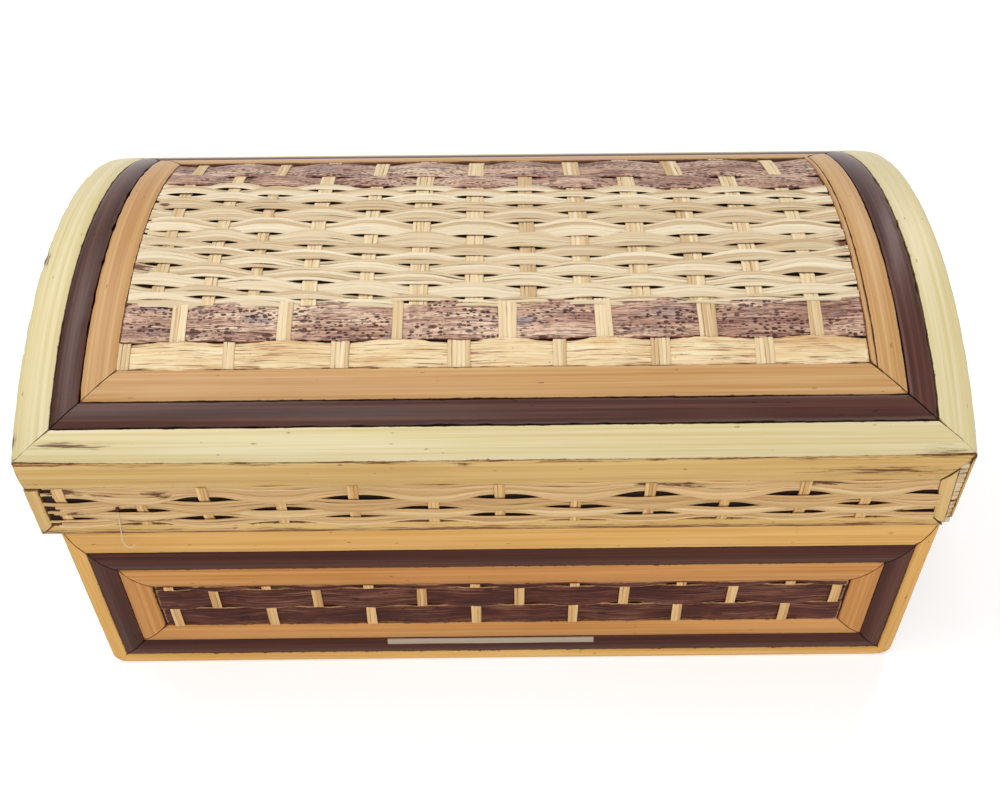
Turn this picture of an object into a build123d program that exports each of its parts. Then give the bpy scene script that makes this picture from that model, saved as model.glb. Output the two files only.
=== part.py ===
from build123d import *

import os
from collections import namedtuple
from math import asin, degrees, pi, sin, cos, sqrt

# Rattan trinket chest: thin boards faced with woven rattan and framed with mitred split strips,
# under a domed lid that turns on two small brass hinges at the back.
# +X runs to the right of someone facing the front, +Y to the back, +Z up.
# The origin is under the middle of the whole chest, on the surface that it stands on.

# The lid, and how the base stands under it
lid_width = 254.0
lid_depth = 141.8
skirt_height = 29.6
dome_rise = 22.8
side_overhang = 2.25
base_height = 69.0
base_setback = 2.5
base_shift = 1.5
lid_seat_gap = 0.3

# Thickness of the layers
wall_board = 3.0
floor_board = 3.0
bent_board = 2.0
strip_thickness = 1.5
rim_thickness = 1.0
lining_thickness = 0.6
glue_line = 0.1
strip_gap = 0.15

# Widths of the strips round the dome's panel
dome_pale = 9.4
dome_dark = 7.3
dome_tan = 9.2

# Widths of the strips on the lid's skirt and its arched ends
skirt_upper_rail = 10.1
skirt_lower_rail = 3.8
skirt_stile = 4.0
hinge_rail = 11.0
arch_strip = 4.0

# Widths of the strips on each face of the base: at its top, its sides and its foot
base_pale_top = 12.5
base_pale_side = 4.6
base_pale_foot = 4.2
base_dark_top = 8.1
base_dark_side = 7.2
base_dark_foot = 7.7
base_tan_top = 8.4
base_tan_side = 8.5
base_tan_foot = 8.0

# The weave: wefts that wave over and under straight stakes
weft_thickness = 0.45
stake_thickness = 0.4
weave_clearance = 0.05
row_gap = 0.2
bend_margin = 0.5

# The dome's panel, from the front: a pale and a dark slat, fine rows, two dark slats and a gap
dome_stake_count = 14
dome_stake_width = 4.2
front_pale_slat = 8.3
front_dark_slat = 11.5
fibre_row_count = 10
fibre_rows_per_bend = 2
far_narrow_slat = 9.6
far_wide_slat = 13.3
far_gap = 4.6

# The lid's skirt and arched ends
skirt_stake_count = 12
skirt_stake_width = 4.5
skirt_row_count = 4
hinge_side_row_count = 2
arch_row = 8.0
arch_stake_count = 6

# The bark panels of the base
bark_top_slat = 1.8
bark_slat_count = 2
bark_stake_width = 3.5
bark_stake_count = 14
side_stake_count = 6

# The hinges: two leaves on one pin, screwed to the back
hinge_spacing = 150.0
hinge_length = 22.0
hinge_reach = 9.0
leaf_thickness = 0.8
leaf_chamfer = 1.0
knuckle_radius = 1.5
knuckle_count = 3
knuckle_gap = 0.2
hinge_clearance = 0.3
pin_radius = 0.8
pin_clearance = 0.05
screw_sides = 8
screw_spacing = 14.0
screw_height = 6.2
screw_shank_radius = 0.6
screw_hole_clearance = 0.05
screw_length = 4.8
screw_head_radius = 1.3
screw_head = 0.6

# One overrun serves all cuts, and one share carries the saw cuts past the corners
cut_overrun = 5.0
saw_overrun_share = 0.3

# Places that follow from the sizes
base_width = lid_width - 2 * side_overhang
hinge_stand_out = hinge_clearance + 2 * knuckle_radius
lid_front = -(lid_depth + hinge_stand_out) / 2
lid_back = lid_front + lid_depth
lid_middle = (lid_front + lid_back) / 2
lid_bottom = base_height + lid_seat_gap
spring_line = lid_bottom + skirt_height
dome_top = spring_line + dome_rise
dome_radius = (lid_depth**2 / 4 + dome_rise**2) / (2 * dome_rise)
dome_axis_height = dome_top - dome_radius
dome_half_angle = asin(lid_depth / 2 / dome_radius)
dome_arc = 2 * dome_half_angle * dome_radius
base_front = lid_front + base_setback
base_depth = lid_back - base_front
base_middle = (base_front + lid_back) / 2
skin = strip_thickness + glue_line
wall = skin + wall_board + glue_line
weave_thickness = 2 * weft_thickness + stake_thickness + 2 * weave_clearance
under_drop = weave_thickness - weft_thickness
stake_depth = weft_thickness + weave_clearance
pin_y = lid_back + hinge_clearance + knuckle_radius
pin_z = base_height + lid_seat_gap / 2
hinge_spots = (-hinge_spacing / 2, hinge_spacing / 2)
dome_frame = dome_pale + dome_dark + dome_tan

# An upright side of the chest: the middle of its foot, and the directions to its right and outward
Side = namedtuple("Side", "name foot right out width height")
Inset = namedtuple("Inset", "top side foot")

right_way = Vector(1, 0, 0)
back_way = Vector(0, 1, 0)
up_way = Vector(0, 0, 1)


def four_faces(width, depth, height, middle_x, middle_y, foot_z):
    """Front and back across the whole width, with the two ends between their strips."""
    end_width = depth - 2 * (strip_thickness + strip_gap)
    middle = Vector(middle_x, middle_y, foot_z)
    across = right_way * (width / 2)
    along = back_way * (depth / 2)
    return (
        Side("front", middle - along, right_way, -back_way, width, height),
        Side("back", middle + along, -right_way, back_way, width, height),
        Side("left", middle - across, -back_way, -right_way, end_width, height),
        Side("right", middle + across, back_way, right_way, end_width, height),
    )


base_faces = four_faces(base_width, base_depth, base_height, base_shift, base_middle, 0)
lid_faces = four_faces(lid_width, lid_depth, skirt_height, 0, lid_middle, lid_bottom)


def write(piece, name):
    """Labels a finished piece and writes it."""
    piece.part.label = name
    export_step(piece.part, f"parts/{name}.step")


def elevation(face, depth=0):
    """Plane on an upright face, or behind it, with its origin at the foot's middle."""
    return Plane(face.foot - face.out * depth, x_dir=face.right, z_dir=face.out)


def dome_angle(arc):
    """Degrees from upright, positive to the back, at a length of arc from the front edge."""
    return degrees(arc / dome_radius - dome_half_angle)


def on_dome(x, arc, depth=0):
    """Point on the dome's surface, or below it."""
    lean = arc / dome_radius - dome_half_angle
    radius = dome_radius - depth
    return Vector(x, lid_middle + radius * sin(lean), dome_axis_height + radius * cos(lean))


def under_dome(y, depth):
    """Height of the surface that lies below the dome's by a depth, above a place along Y."""
    return dome_axis_height + sqrt((dome_radius - depth) ** 2 - (y - lid_middle) ** 2)


def dome_band(x, start, end, depth, thickness):
    """Face of a bent strip seen from its end, from one length of arc to another."""
    centre = (lid_middle, dome_axis_height)
    sweep = dome_angle(start) - dome_angle(end)
    upright = degrees(pi / 2)
    with BuildSketch(Plane.YZ.offset(x)) as band:
        with BuildLine():
            outer = CenterArc(centre, dome_radius - depth, upright - dome_angle(start), sweep)
            inner = CenterArc(centre, dome_radius - depth - thickness, upright - dome_angle(start), sweep)
            Line(outer @ 0, inner @ 0)
            Line(outer @ 1, inner @ 1)
        make_face()
    return band.sketch


def spring_plane(side, depth=0):
    """Plane through the dome's axis and its front or back edge, shifted down by a depth."""
    edge = on_dome(0, 0 if side < 0 else dome_arc)
    lean = side * dome_half_angle
    upward = Vector(0, -side * cos(lean), sin(abs(lean)))
    return Plane(edge - upward * depth, x_dir=right_way, z_dir=upward)


def mitre_plane(across, along):
    """Plane of one of the dome's four mitres, facing the middle of the end strip beside it."""
    outer_arc = 0 if along < 0 else dome_arc
    inner_arc = outer_arc - along * dome_frame
    outside = on_dome(across * lid_width / 2, outer_arc)
    inside = on_dome(across * (lid_width / 2 - dome_frame), inner_arc)
    lean = (outer_arc + inner_arc) / 2 / dome_radius - dome_half_angle
    facing = (inside - outside).cross(Vector(0, sin(lean), cos(lean)))
    if facing.Y * along > 0:
        facing = -facing
    return Plane(outside, x_dir=inside - outside, z_dir=facing)


def inset_corners(face, inset):
    """The four corners of a face drawn in by its insets, anticlockwise from the lower left."""
    left = -face.width / 2 + inset.side
    top = face.height - inset.top
    return ((left, inset.foot), (-left, inset.foot), (-left, top), (left, top))


def sawn_frame(face, outer, inner):
    """Four flat strips between two insets, with a saw cut along each mitre."""
    outside = inset_corners(face, outer)
    inside = inset_corners(face, inner)
    with BuildSketch(elevation(face)) as frame:
        with BuildLine():
            Polyline(*outside, close=True)
        make_face()
        with BuildLine():
            Polyline(*inside, close=True)
        make_face(mode=Mode.SUBTRACT)
        for start, end in zip(outside, inside):
            run = (Vector(end) - Vector(start)) * saw_overrun_share
            with BuildLine():
                Line(Vector(start) - run, Vector(end) + run)
            trace(line_width=strip_gap, mode=Mode.SUBTRACT)
    return frame.sketch


def nested_frames(*bands):
    """Outer and inner insets of frames that lie one inside the other."""
    done = Inset(0, 0, 0)
    insets = []
    for band in bands:
        gap = strip_gap if insets else 0
        outer = Inset(done.top + gap, done.side + gap, done.foot + gap)
        done = Inset(done.top + band.top, done.side + band.side, done.foot + band.foot)
        insets.append((outer, done))
    return insets


def clear_of(inset):
    """Inset of the panel that a frame holds."""
    return Inset(inset.top + strip_gap, inset.side + strip_gap, inset.foot + strip_gap)


def spread(length, count):
    """Places of the stakes along a panel, half a pitch in from its ends."""
    pitch = length / count
    return [(place - (count - 1) / 2) * pitch for place in range(count)]


def wavy_strip(plane, length, stakes, stake_width, over, sag=0):
    """Edge of one weft, which passes over one stake and under the next, and lower by its sag."""
    flat = stake_width / 2 + bend_margin
    outer = []
    for stake in stakes:
        level = 0 if over else -under_drop - sag
        outer += [(stake - flat, level), (stake + flat, level)]
        over = not over
    outer[0] = (-length / 2, outer[0][1])
    outer[-1] = (length / 2, outer[-1][1])
    inner = [(along, level - weft_thickness) for along, level in reversed(outer)]
    with BuildSketch(plane) as strip:
        with BuildLine():
            Polyline(*outer, *inner, close=True)
        make_face()
    return strip.sketch


def woven_panel(face, inset, rows, stakes, stake_width):
    """Flat panel: wefts laid from the top down, round stakes that stand behind the face."""
    length = face.width - 2 * inset.side
    height = face.height - inset.top - inset.foot
    with BuildPart() as panel:
        below = inset.top
        over = True
        for row in rows:
            top = face.foot + up_way * (face.height - below)
            looking_down = Plane(top, x_dir=face.right, z_dir=-up_way)
            weft = wavy_strip(looking_down, length, stakes, stake_width, over)
            extrude(weft, amount=row - row_gap)
            below += row
            over = not over
        with BuildSketch(elevation(face, stake_depth)) as uprights:
            for stake in stakes:
                with Locations((stake, inset.foot + height / 2)):
                    Rectangle(stake_width, height)
        extrude(uprights.sketch, amount=-stake_thickness)
    return panel


def arch(plane, half_width, foot, depth):
    """Face with a flat foot, upright sides and the dome's curve, lowered by a depth, on top."""
    shoulder = under_dome(lid_middle + half_width, depth)
    crown = dome_top - depth
    with BuildSketch(plane) as face:
        with BuildLine():
            Line((half_width, shoulder), (half_width, foot))
            Line((half_width, foot), (-half_width, foot))
            Line((-half_width, foot), (-half_width, shoulder))
            ThreePointArc((-half_width, shoulder), (0, crown), (half_width, shoulder))
        make_face()
    return face.sketch


def screw_spots():
    """Places of the screws of both hinges along the back, seen from the front."""
    return [spot + side * screw_spacing / 2 for spot in hinge_spots for side in (-1, 1)]


def drill_back(height, depth, stand_out=0):
    """Drills the screw holes of one row of leaves into the piece in hand, from the back."""
    start = Plane((0, lid_back + stand_out, height), x_dir=-right_way, z_dir=back_way)
    with BuildSketch(start) as holes:
        for spot in screw_spots():
            with Locations((spot, 0)):
                RegularPolygon(screw_hole_radius, screw_sides)
    extrude(holes.sketch, amount=-depth, mode=Mode.SUBTRACT)


screw_hole_radius = screw_shank_radius + screw_hole_clearance
screw_rows = {"base": pin_z - screw_height, "lid": pin_z + screw_height}

os.makedirs("parts", exist_ok=True)


# Base boards: the front and back run through, and the ends and the floor stand between them
base_left = base_shift - base_width / 2
base_right = base_shift + base_width / 2
board_top = base_height - rim_thickness - glue_line
outer_low = Vector(base_left + skin, base_front + skin, 0)
outer_high = Vector(base_right - skin, lid_back - skin, board_top)
inner_low = Vector(base_left + wall, base_front + wall, 0)
inner_high = Vector(base_right - wall, lid_back - wall, board_top)

base_boards = (
    ("base_front_board", outer_low, Vector(outer_high.X, outer_low.Y + wall_board, board_top)),
    ("base_back_board", Vector(outer_low.X, outer_high.Y - wall_board, 0), outer_high),
    (
        "base_left_board",
        Vector(outer_low.X, inner_low.Y, 0),
        Vector(outer_low.X + wall_board, inner_high.Y, board_top),
    ),
    (
        "base_right_board",
        Vector(outer_high.X - wall_board, inner_low.Y, 0),
        Vector(outer_high.X, inner_high.Y, board_top),
    ),
    ("base_floor", inner_low, Vector(inner_high.X, inner_high.Y, floor_board)),
)
for name, low, high in base_boards:
    with BuildPart() as board:
        with BuildSketch(Plane.XY.offset(low.Z)):
            with Locations(((low.X + high.X) / 2, (low.Y + high.Y) / 2)):
                Rectangle(high.X - low.X, high.Y - low.Y)
        extrude(amount=high.Z - low.Z)
        if name == "base_back_board":
            drill_back(screw_rows["base"], screw_length + screw_hole_clearance)
    write(board, name)


# Cloth lining of the base: an open tray glued to the walls and the floor
lining_low = floor_board + glue_line
lining_length = inner_high.X - inner_low.X
lining_width = inner_high.Y - inner_low.Y
with BuildPart() as base_lining:
    with BuildSketch(Plane((base_shift, base_middle, lining_low))):
        Rectangle(lining_length, lining_width)
    extrude(amount=board_top - lining_low)
    with BuildSketch(Plane((base_shift, base_middle, lining_low + lining_thickness))):
        Rectangle(lining_length - 2 * lining_thickness, lining_width - 2 * lining_thickness)
    extrude(amount=board_top - lining_low, mode=Mode.SUBTRACT)
write(base_lining, "base_lining")


def rim(middle_x, middle_y, length, width, foot):
    """Four mitred strips that cover the edges of the boards and of the lining."""
    across = wall_board + glue_line + lining_thickness
    flat = Side("rim", Vector(middle_x, middle_y - width / 2, foot), right_way, up_way, length, width)
    with BuildPart() as strips:
        extrude(sawn_frame(flat, Inset(0, 0, 0), Inset(across, across, across)), amount=rim_thickness)
    return strips


board_length = outer_high.X - outer_low.X
board_width = outer_high.Y - outer_low.Y
write(rim(base_shift, base_middle, board_length, board_width, base_height - rim_thickness), "base_rim")


# Faces of the base: three mitred frames, one inside the other, round a panel of bark slats
base_insets = nested_frames(
    Inset(base_pale_top, base_pale_side, base_pale_foot),
    Inset(base_dark_top, base_dark_side, base_dark_foot),
    Inset(base_tan_top, base_tan_side, base_tan_foot),
)
bark_inset = clear_of(base_insets[-1][1])
bark_height = base_height - bark_inset.top - bark_inset.foot
bark_slat = (bark_height - bark_top_slat) / bark_slat_count
bark_rows = [bark_top_slat] + bark_slat_count * [bark_slat]

for face in base_faces:
    for colour, (outer, inner) in zip(("pale", "dark", "tan"), base_insets):
        with BuildPart() as frame:
            extrude(sawn_frame(face, outer, inner), amount=-strip_thickness)
            if face.name == "back" and colour == "pale":
                drill_back(screw_rows["base"], skin)
        write(frame, f"base_{face.name}_{colour}_frame")
    stake_count = bark_stake_count if face.name in ("front", "back") else side_stake_count
    bark_stakes = spread(face.width - 2 * bark_inset.side, stake_count)
    bark_panel = woven_panel(face, bark_inset, bark_rows, bark_stakes, bark_stake_width)
    write(bark_panel, f"base_{face.name}_weave")


# Lid boards: the front and back run through, and the arched ends stand between them
lid_board_foot = lid_bottom + rim_thickness + glue_line
bent_depth = skin
board_depth = skin + bent_board + glue_line
lid_half = lid_width / 2
lid_half_depth = lid_depth / 2


def skirt_board(outer_y, inner_y):
    """Board with a level foot, whose top follows the underside of the bent board."""
    between = (outer_y + inner_y) / 2
    ends = [(y, under_dome(y, board_depth)) for y in (outer_y, between, inner_y)]
    with BuildSketch(Plane.YZ.offset(-lid_half + skin)) as section:
        with BuildLine():
            ThreePointArc(*ends)
            Polyline(ends[0], (outer_y, lid_board_foot), (inner_y, lid_board_foot), ends[-1])
        make_face()
    with BuildPart() as board:
        extrude(section.sketch, amount=lid_width - 2 * skin)
    return board


write(skirt_board(lid_front + skin, lid_front + skin + wall_board), "lid_front_board")

with BuildPart() as lid_back_board:
    add(skirt_board(lid_back - skin, lid_back - skin - wall_board).part)
    drill_back(screw_rows["lid"], screw_length + screw_hole_clearance)
write(lid_back_board, "lid_back_board")

for name, start in (("left", -lid_half + skin), ("right", lid_half - skin - wall_board)):
    with BuildPart() as end_board:
        end_plane = Plane((start, lid_middle, 0), x_dir=back_way, z_dir=right_way)
        extrude(arch(end_plane, lid_half_depth - wall, lid_board_foot, board_depth), amount=wall_board)
    write(end_board, f"lid_{name}_end_board")

board_ends = (lid_front + skin, lid_middle, lid_back - skin)
upper_arc = [(y, under_dome(y, skin)) for y in board_ends]
lower_arc = [(y, under_dome(y, skin + bent_board)) for y in board_ends]
with BuildPart() as dome_board:
    with BuildSketch(Plane.YZ.offset(-lid_half + skin)):
        with BuildLine():
            ThreePointArc(*upper_arc)
            ThreePointArc(*lower_arc)
            Line(upper_arc[0], lower_arc[0])
            Line(upper_arc[-1], lower_arc[-1])
        make_face()
    extrude(amount=lid_width - 2 * skin)
write(dome_board, "dome_board")


# Cloth lining of the lid, glued under the bent board and to the boards round it
hollow_plane = Plane((-lid_half + wall, lid_middle, 0), x_dir=back_way, z_dir=right_way)
with BuildPart() as lid_lining:
    hollow = arch(hollow_plane, lid_half_depth - wall, lid_board_foot, board_depth)
    extrude(hollow, amount=lid_width - 2 * wall)
    extrude(
        arch(
            hollow_plane.offset(lining_thickness),
            lid_half_depth - wall - lining_thickness,
            lid_board_foot - cut_overrun,
            board_depth + lining_thickness,
        ),
        amount=lid_width - 2 * wall - 2 * lining_thickness,
        mode=Mode.SUBTRACT,
    )
write(lid_lining, "lid_lining")

write(rim(0, lid_middle, lid_width - 2 * skin, lid_depth - 2 * skin, lid_bottom), "lid_rim")


# Strips round the dome's panel: three rings of four, each mitred at the corners
half_gap = strip_gap / 2
ring_edge = 0
for colour, width in (("pale", dome_pale), ("dark", dome_dark), ("tan", dome_tan)):
    near = ring_edge + (strip_gap if ring_edge else 0)
    far = ring_edge + width
    ring_edge = far
    for name, across in (("left", -1), ("right", 1)):
        start = -lid_half + near if across < 0 else lid_half - far
        with BuildPart() as end_strip:
            extrude(dome_band(start, 0, dome_arc, 0, strip_thickness), amount=far - near)
            for along in (-1, 1):
                split(bisect_by=mitre_plane(across, along).offset(half_gap), keep=Keep.TOP)
        write(end_strip, f"dome_{colour}_{name}")
    for name, along in (("front", -1), ("back", 1)):
        first, last = (near, far) if along < 0 else (dome_arc - far, dome_arc - near)
        with BuildPart() as long_strip:
            extrude(dome_band(-lid_half, first, last, 0, strip_thickness), amount=lid_width)
            for across in (-1, 1):
                split(bisect_by=mitre_plane(across, along).offset(-half_gap), keep=Keep.BOTTOM)
        write(long_strip, f"dome_{colour}_{name}")


# The dome's woven panel: stakes bent over the dome, and wefts laid across them
panel_start = dome_frame + strip_gap
panel_end = dome_arc - dome_frame - strip_gap
panel_length = lid_width - 2 * panel_start
slat_widths = front_pale_slat + front_dark_slat + far_narrow_slat + far_wide_slat
fibre_row = (panel_end - panel_start - slat_widths - far_gap) / fibre_row_count
dome_rows = (
    ("dome_pale_slat", [front_pale_slat], 1),
    ("dome_dark_slat", [front_dark_slat], 1),
    ("dome_fibre_rows", fibre_row_count * [fibre_row], fibre_rows_per_bend),
    ("dome_far_slats", [far_narrow_slat, far_wide_slat], 1),
)
stake_bends = [panel_start]
for name, rows, per_bend in dome_rows:
    for first in range(0, len(rows), per_bend):
        stake_bends.append(stake_bends[-1] + sum(rows[first : first + per_bend]))
stake_bends.append(panel_end)
dome_stakes = spread(panel_length, dome_stake_count)


def bent_stake(start):
    """Side of a stake that runs straight under one row or two, and bends where the next starts."""
    outer = [on_dome(start, arc, stake_depth) for arc in stake_bends]
    inner = [on_dome(start, arc, stake_depth + stake_thickness) for arc in reversed(stake_bends)]
    with BuildSketch(Plane.YZ.offset(start)) as side:
        with BuildLine():
            Polyline(*[(corner.Y, corner.Z) for corner in outer + inner], close=True)
        make_face()
    return side.sketch


with BuildPart() as stakes:
    for stake in dome_stakes:
        extrude(bent_stake(stake - dome_stake_width / 2), amount=dome_stake_width)
write(stakes, "dome_stakes")


def dome_weft(start, row, over, run):
    """One weft of the dome, laid level across the middle of its row, where the stakes run straight."""
    lean = (start + row / 2) / dome_radius - dome_half_angle
    across_dome = Plane(on_dome(0, start + row / 2), x_dir=right_way, z_dir=Vector(0, -cos(lean), sin(lean)))
    sag = run**2 / (8 * dome_radius)
    edge = wavy_strip(across_dome, panel_length, dome_stakes, dome_stake_width, over, sag)
    extrude(edge, amount=(row - row_gap) / 2, both=True)


row_start = panel_start
over = False
for name, rows, per_bend in dome_rows:
    with BuildPart() as wefts:
        for row in rows:
            dome_weft(row_start, row, over, per_bend * row)
            row_start += row
            over = not over
    write(wefts, name)


# The lid's skirt: a frame and a woven band at the front, and the same with a hinge rail behind
skirt_frames = {
    "front": Inset(skirt_upper_rail, skirt_stile, skirt_lower_rail),
    "back": Inset(skirt_upper_rail, skirt_stile, hinge_rail),
}
skirt_rows = {"front": skirt_row_count, "back": hinge_side_row_count}
for face in lid_faces[:2]:
    side = -1 if face.name == "front" else 1
    inner = skirt_frames[face.name]
    with BuildPart() as frame:
        extrude(sawn_frame(face, Inset(0, 0, 0), inner), amount=-strip_thickness)
        split(bisect_by=spring_plane(side, strip_gap), keep=Keep.BOTTOM)
        if face.name == "back":
            drill_back(screw_rows["lid"], skin)
    write(frame, f"lid_{face.name}_frame")
    inset = clear_of(inner)
    height = skirt_height - inset.top - inset.foot
    count = skirt_rows[face.name]
    spots = spread(lid_width - 2 * inset.side, skirt_stake_count)
    band = woven_panel(face, inset, count * [height / count], spots, skirt_stake_width)
    write(band, f"lid_{face.name}_weave")


# The lid's arched ends: an arched strip, a foot rail and two stiles round a woven panel
arch_depth = strip_thickness + strip_gap
panel_depth = arch_depth + arch_strip
for face in lid_faces[2:]:
    half = face.width / 2
    panel_half = half - arch_strip
    foot = skirt_lower_rail
    ground = elevation(face)
    ground.origin = Vector(face.foot.X, lid_middle, 0)
    shoulder = under_dome(lid_middle + half, arch_depth)
    inner_shoulder = under_dome(lid_middle + panel_half, panel_depth)
    with BuildPart() as frame:
        extrude(arch(ground, half, lid_bottom, arch_depth), amount=-strip_thickness)
        extrude(
            arch(ground, panel_half, lid_bottom + foot, panel_depth),
            amount=-strip_thickness,
            mode=Mode.SUBTRACT,
        )
        with BuildSketch(ground) as saw_cuts:
            for side in (-1, 1):
                cuts = (
                    (Vector(side * half, lid_bottom), Vector(side * panel_half, lid_bottom + foot)),
                    (Vector(side * half, shoulder), Vector(side * panel_half, inner_shoulder)),
                )
                for outside, inside in cuts:
                    run = (inside - outside) * saw_overrun_share
                    with BuildLine():
                        Line(outside - run, inside + run)
                    trace(line_width=strip_gap)
        extrude(saw_cuts.sketch, amount=-strip_thickness, mode=Mode.SUBTRACT)
    write(frame, f"lid_{face.name}_frame")

    panel_foot = foot + strip_gap
    top_height = dome_top - panel_depth - strip_gap - lid_bottom
    whole = face._replace(height=top_height)
    inset = Inset(0, arch_strip + strip_gap, panel_foot)
    row_count = int((top_height - panel_foot) // arch_row)
    rows = row_count * [(top_height - panel_foot) / row_count]
    spots = spread(face.width - 2 * inset.side, arch_stake_count)
    with BuildPart() as arched_weave:
        add(woven_panel(whole, inset, rows, spots, skirt_stake_width).part)
        opening = arch(ground, panel_half - strip_gap, lid_bottom + panel_foot, panel_depth + strip_gap)
        extrude(opening, amount=-strip_thickness, mode=Mode.INTERSECT)
    write(arched_weave, f"lid_{face.name}_weave")


# Hinges: each leaf is a flat plate with its knuckles rolled round the pin
knuckle_length = (hinge_length - (knuckle_count - 1) * knuckle_gap) / knuckle_count
knuckle_pitch = knuckle_length + knuckle_gap


def hinge_leaf(spot, up, knuckle_places):
    """Leaf of a hinge, with its plate above the pin or below it."""
    plate_foot = knuckle_radius + hinge_clearance
    plate_height = hinge_reach - plate_foot
    with BuildPart() as leaf:
        with BuildSketch(Plane((spot, lid_back, pin_z), x_dir=right_way, z_dir=-back_way)):
            with Locations((0, up * (plate_foot + plate_height / 2))):
                Rectangle(hinge_length, plate_height)
        extrude(amount=-leaf_thickness)
        chamfer(leaf.edges().filter_by(Axis.Y).group_by(Axis.Z)[-1 if up > 0 else 0], leaf_chamfer)
        for place in knuckle_places:
            start = spot + place * knuckle_pitch - knuckle_length / 2
            with BuildSketch(Plane.YZ.offset(start)) as knuckle:
                with Locations((pin_y, pin_z)):
                    Circle(knuckle_radius)
                with Locations((lid_back + leaf_thickness / 2, pin_z + up * plate_foot / 2)):
                    Rectangle(leaf_thickness, plate_foot)
                with Locations((pin_y, pin_z)):
                    Circle(pin_radius + pin_clearance, mode=Mode.SUBTRACT)
            extrude(knuckle.sketch, amount=knuckle_length)
        drill_back(pin_z + up * screw_height, leaf_thickness, leaf_thickness)
    return leaf


for body, up, places in (("lid", 1, (0,)), ("base", -1, (-1, 1))):
    with BuildPart() as leaves:
        for spot in hinge_spots:
            add(hinge_leaf(spot, up, places).part)
    write(leaves, f"{body}_hinge_leaves")

with BuildPart() as hinge_pins:
    for spot in hinge_spots:
        with BuildSketch(Plane.YZ.offset(spot - hinge_length / 2)):
            with Locations((pin_y, pin_z)):
                Circle(pin_radius)
        extrude(amount=hinge_length)
write(hinge_pins, "hinge_pins")

for body, height in screw_rows.items():
    seat = Plane((0, lid_back + leaf_thickness, height), x_dir=-right_way, z_dir=back_way)
    with BuildPart() as screws:
        for radius, length in ((screw_head_radius, screw_head), (screw_shank_radius, -screw_length)):
            with BuildSketch(seat) as section:
                for spot in screw_spots():
                    with Locations((spot, 0)):
                        RegularPolygon(radius, screw_sides)
            extrude(section.sketch, amount=length)
    write(screws, f"{body}_hinge_screws")
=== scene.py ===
import zlib
from math import asin, cos, pi, radians, sin, sqrt

import bmesh
import bpy
import numpy as np
from mathutils import Matrix, Vector


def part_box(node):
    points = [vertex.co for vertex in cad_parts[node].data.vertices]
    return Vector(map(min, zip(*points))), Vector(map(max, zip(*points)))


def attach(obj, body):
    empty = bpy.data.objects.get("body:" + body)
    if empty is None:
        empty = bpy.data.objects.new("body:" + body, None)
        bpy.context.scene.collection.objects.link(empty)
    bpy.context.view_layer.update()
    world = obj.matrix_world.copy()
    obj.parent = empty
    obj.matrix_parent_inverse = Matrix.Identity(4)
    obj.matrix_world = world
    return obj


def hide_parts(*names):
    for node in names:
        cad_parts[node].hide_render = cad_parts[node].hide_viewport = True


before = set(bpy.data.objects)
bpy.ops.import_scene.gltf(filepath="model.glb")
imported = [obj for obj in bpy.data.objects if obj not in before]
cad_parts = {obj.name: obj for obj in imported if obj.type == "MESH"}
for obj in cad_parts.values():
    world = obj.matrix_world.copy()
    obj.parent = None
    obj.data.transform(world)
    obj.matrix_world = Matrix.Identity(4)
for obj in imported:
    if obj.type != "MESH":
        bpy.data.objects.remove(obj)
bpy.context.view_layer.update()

MM = 0.001

# How far the dome rises over the skirt
DOME_RISE = 22.8 * MM

# The split strips
STRIP_THICKNESS = 1.5 * MM
STRIP_STEP = 1.2 * MM
STRIP_GAP = 0.15 * MM
DOME_CAMBER = 0.35 * MM
SPLIT_CAMBER = 0.95 * MM
SKIRT_CAMBER = 0.55 * MM
EDGE_ROUND = 0.22 * MM
MITRE_GAP = 0.2 * MM
RAGGED_EDGE = 0.07 * MM
LONG_RAGGED, SHORT_RAGGED = (70 * MM, RAGGED_EDGE), (8 * MM, 0.35 * RAGGED_EDGE)
NICK_PITCH = 9 * MM
NICK_REACH = (0.6 * MM, 2.2 * MM)
SHARP_ANGLE = radians(50)
WAVE_SHARES = (1.0, 0.61, 0.37, 0.23)


def span(node, axis):
    """Lowest and highest place of a CAD node along one axis."""
    low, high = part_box(node)
    return low[axis], high[axis]


# Outline of the lid and the base, from the frame
LID_LEFT, LID_RIGHT = span("lid_front_frame", 0)
LID_FRONT = span("lid_front_frame", 1)[0]
LID_BACK = span("lid_back_frame", 1)[1]
LID_FOOT = span("lid_front_frame", 2)[0]
DOME_TOP = span("dome_pale_left", 2)[1]
LID_MIDDLE = (LID_FRONT + LID_BACK) / 2
LID_HALF = (LID_RIGHT - LID_LEFT) / 2
LID_HALF_DEPTH = (LID_BACK - LID_FRONT) / 2
SPRING_LINE = DOME_TOP - DOME_RISE
SKIRT_HEIGHT = SPRING_LINE - LID_FOOT
DOME_RADIUS = (LID_HALF_DEPTH**2 + DOME_RISE**2) / (2 * DOME_RISE)
DOME_AXIS = DOME_TOP - DOME_RADIUS
DOME_LEAN = asin(LID_HALF_DEPTH / DOME_RADIUS)
DOME_ARC = 2 * DOME_LEAN * DOME_RADIUS
BASE_LEFT, BASE_RIGHT = span("base_front_pale_frame", 0)
BASE_FRONT = span("base_front_pale_frame", 1)[0]
BASE_BACK = span("base_back_pale_frame", 1)[1]
BASE_TOP = span("base_front_pale_frame", 2)[1]
BASE_MIDDLE_X = (BASE_LEFT + BASE_RIGHT) / 2


def srgb(red, green, blue):
    """Linear colour of a displayed one, from 0 to 255."""
    shares = np.array([red, green, blue]) / 255
    linear = np.where(shares <= 0.04045, shares / 12.92, ((shares + 0.055) / 1.055) ** 2.4)
    return (*linear.tolist(), 1.0)


def mm(values):
    """Numbers given in millimetres, in metres."""
    return np.array(values) * MM


def turns(count):
    """Angles at equal steps round a circle."""
    return np.linspace(0, 2 * pi, count, endpoint=False)


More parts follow.
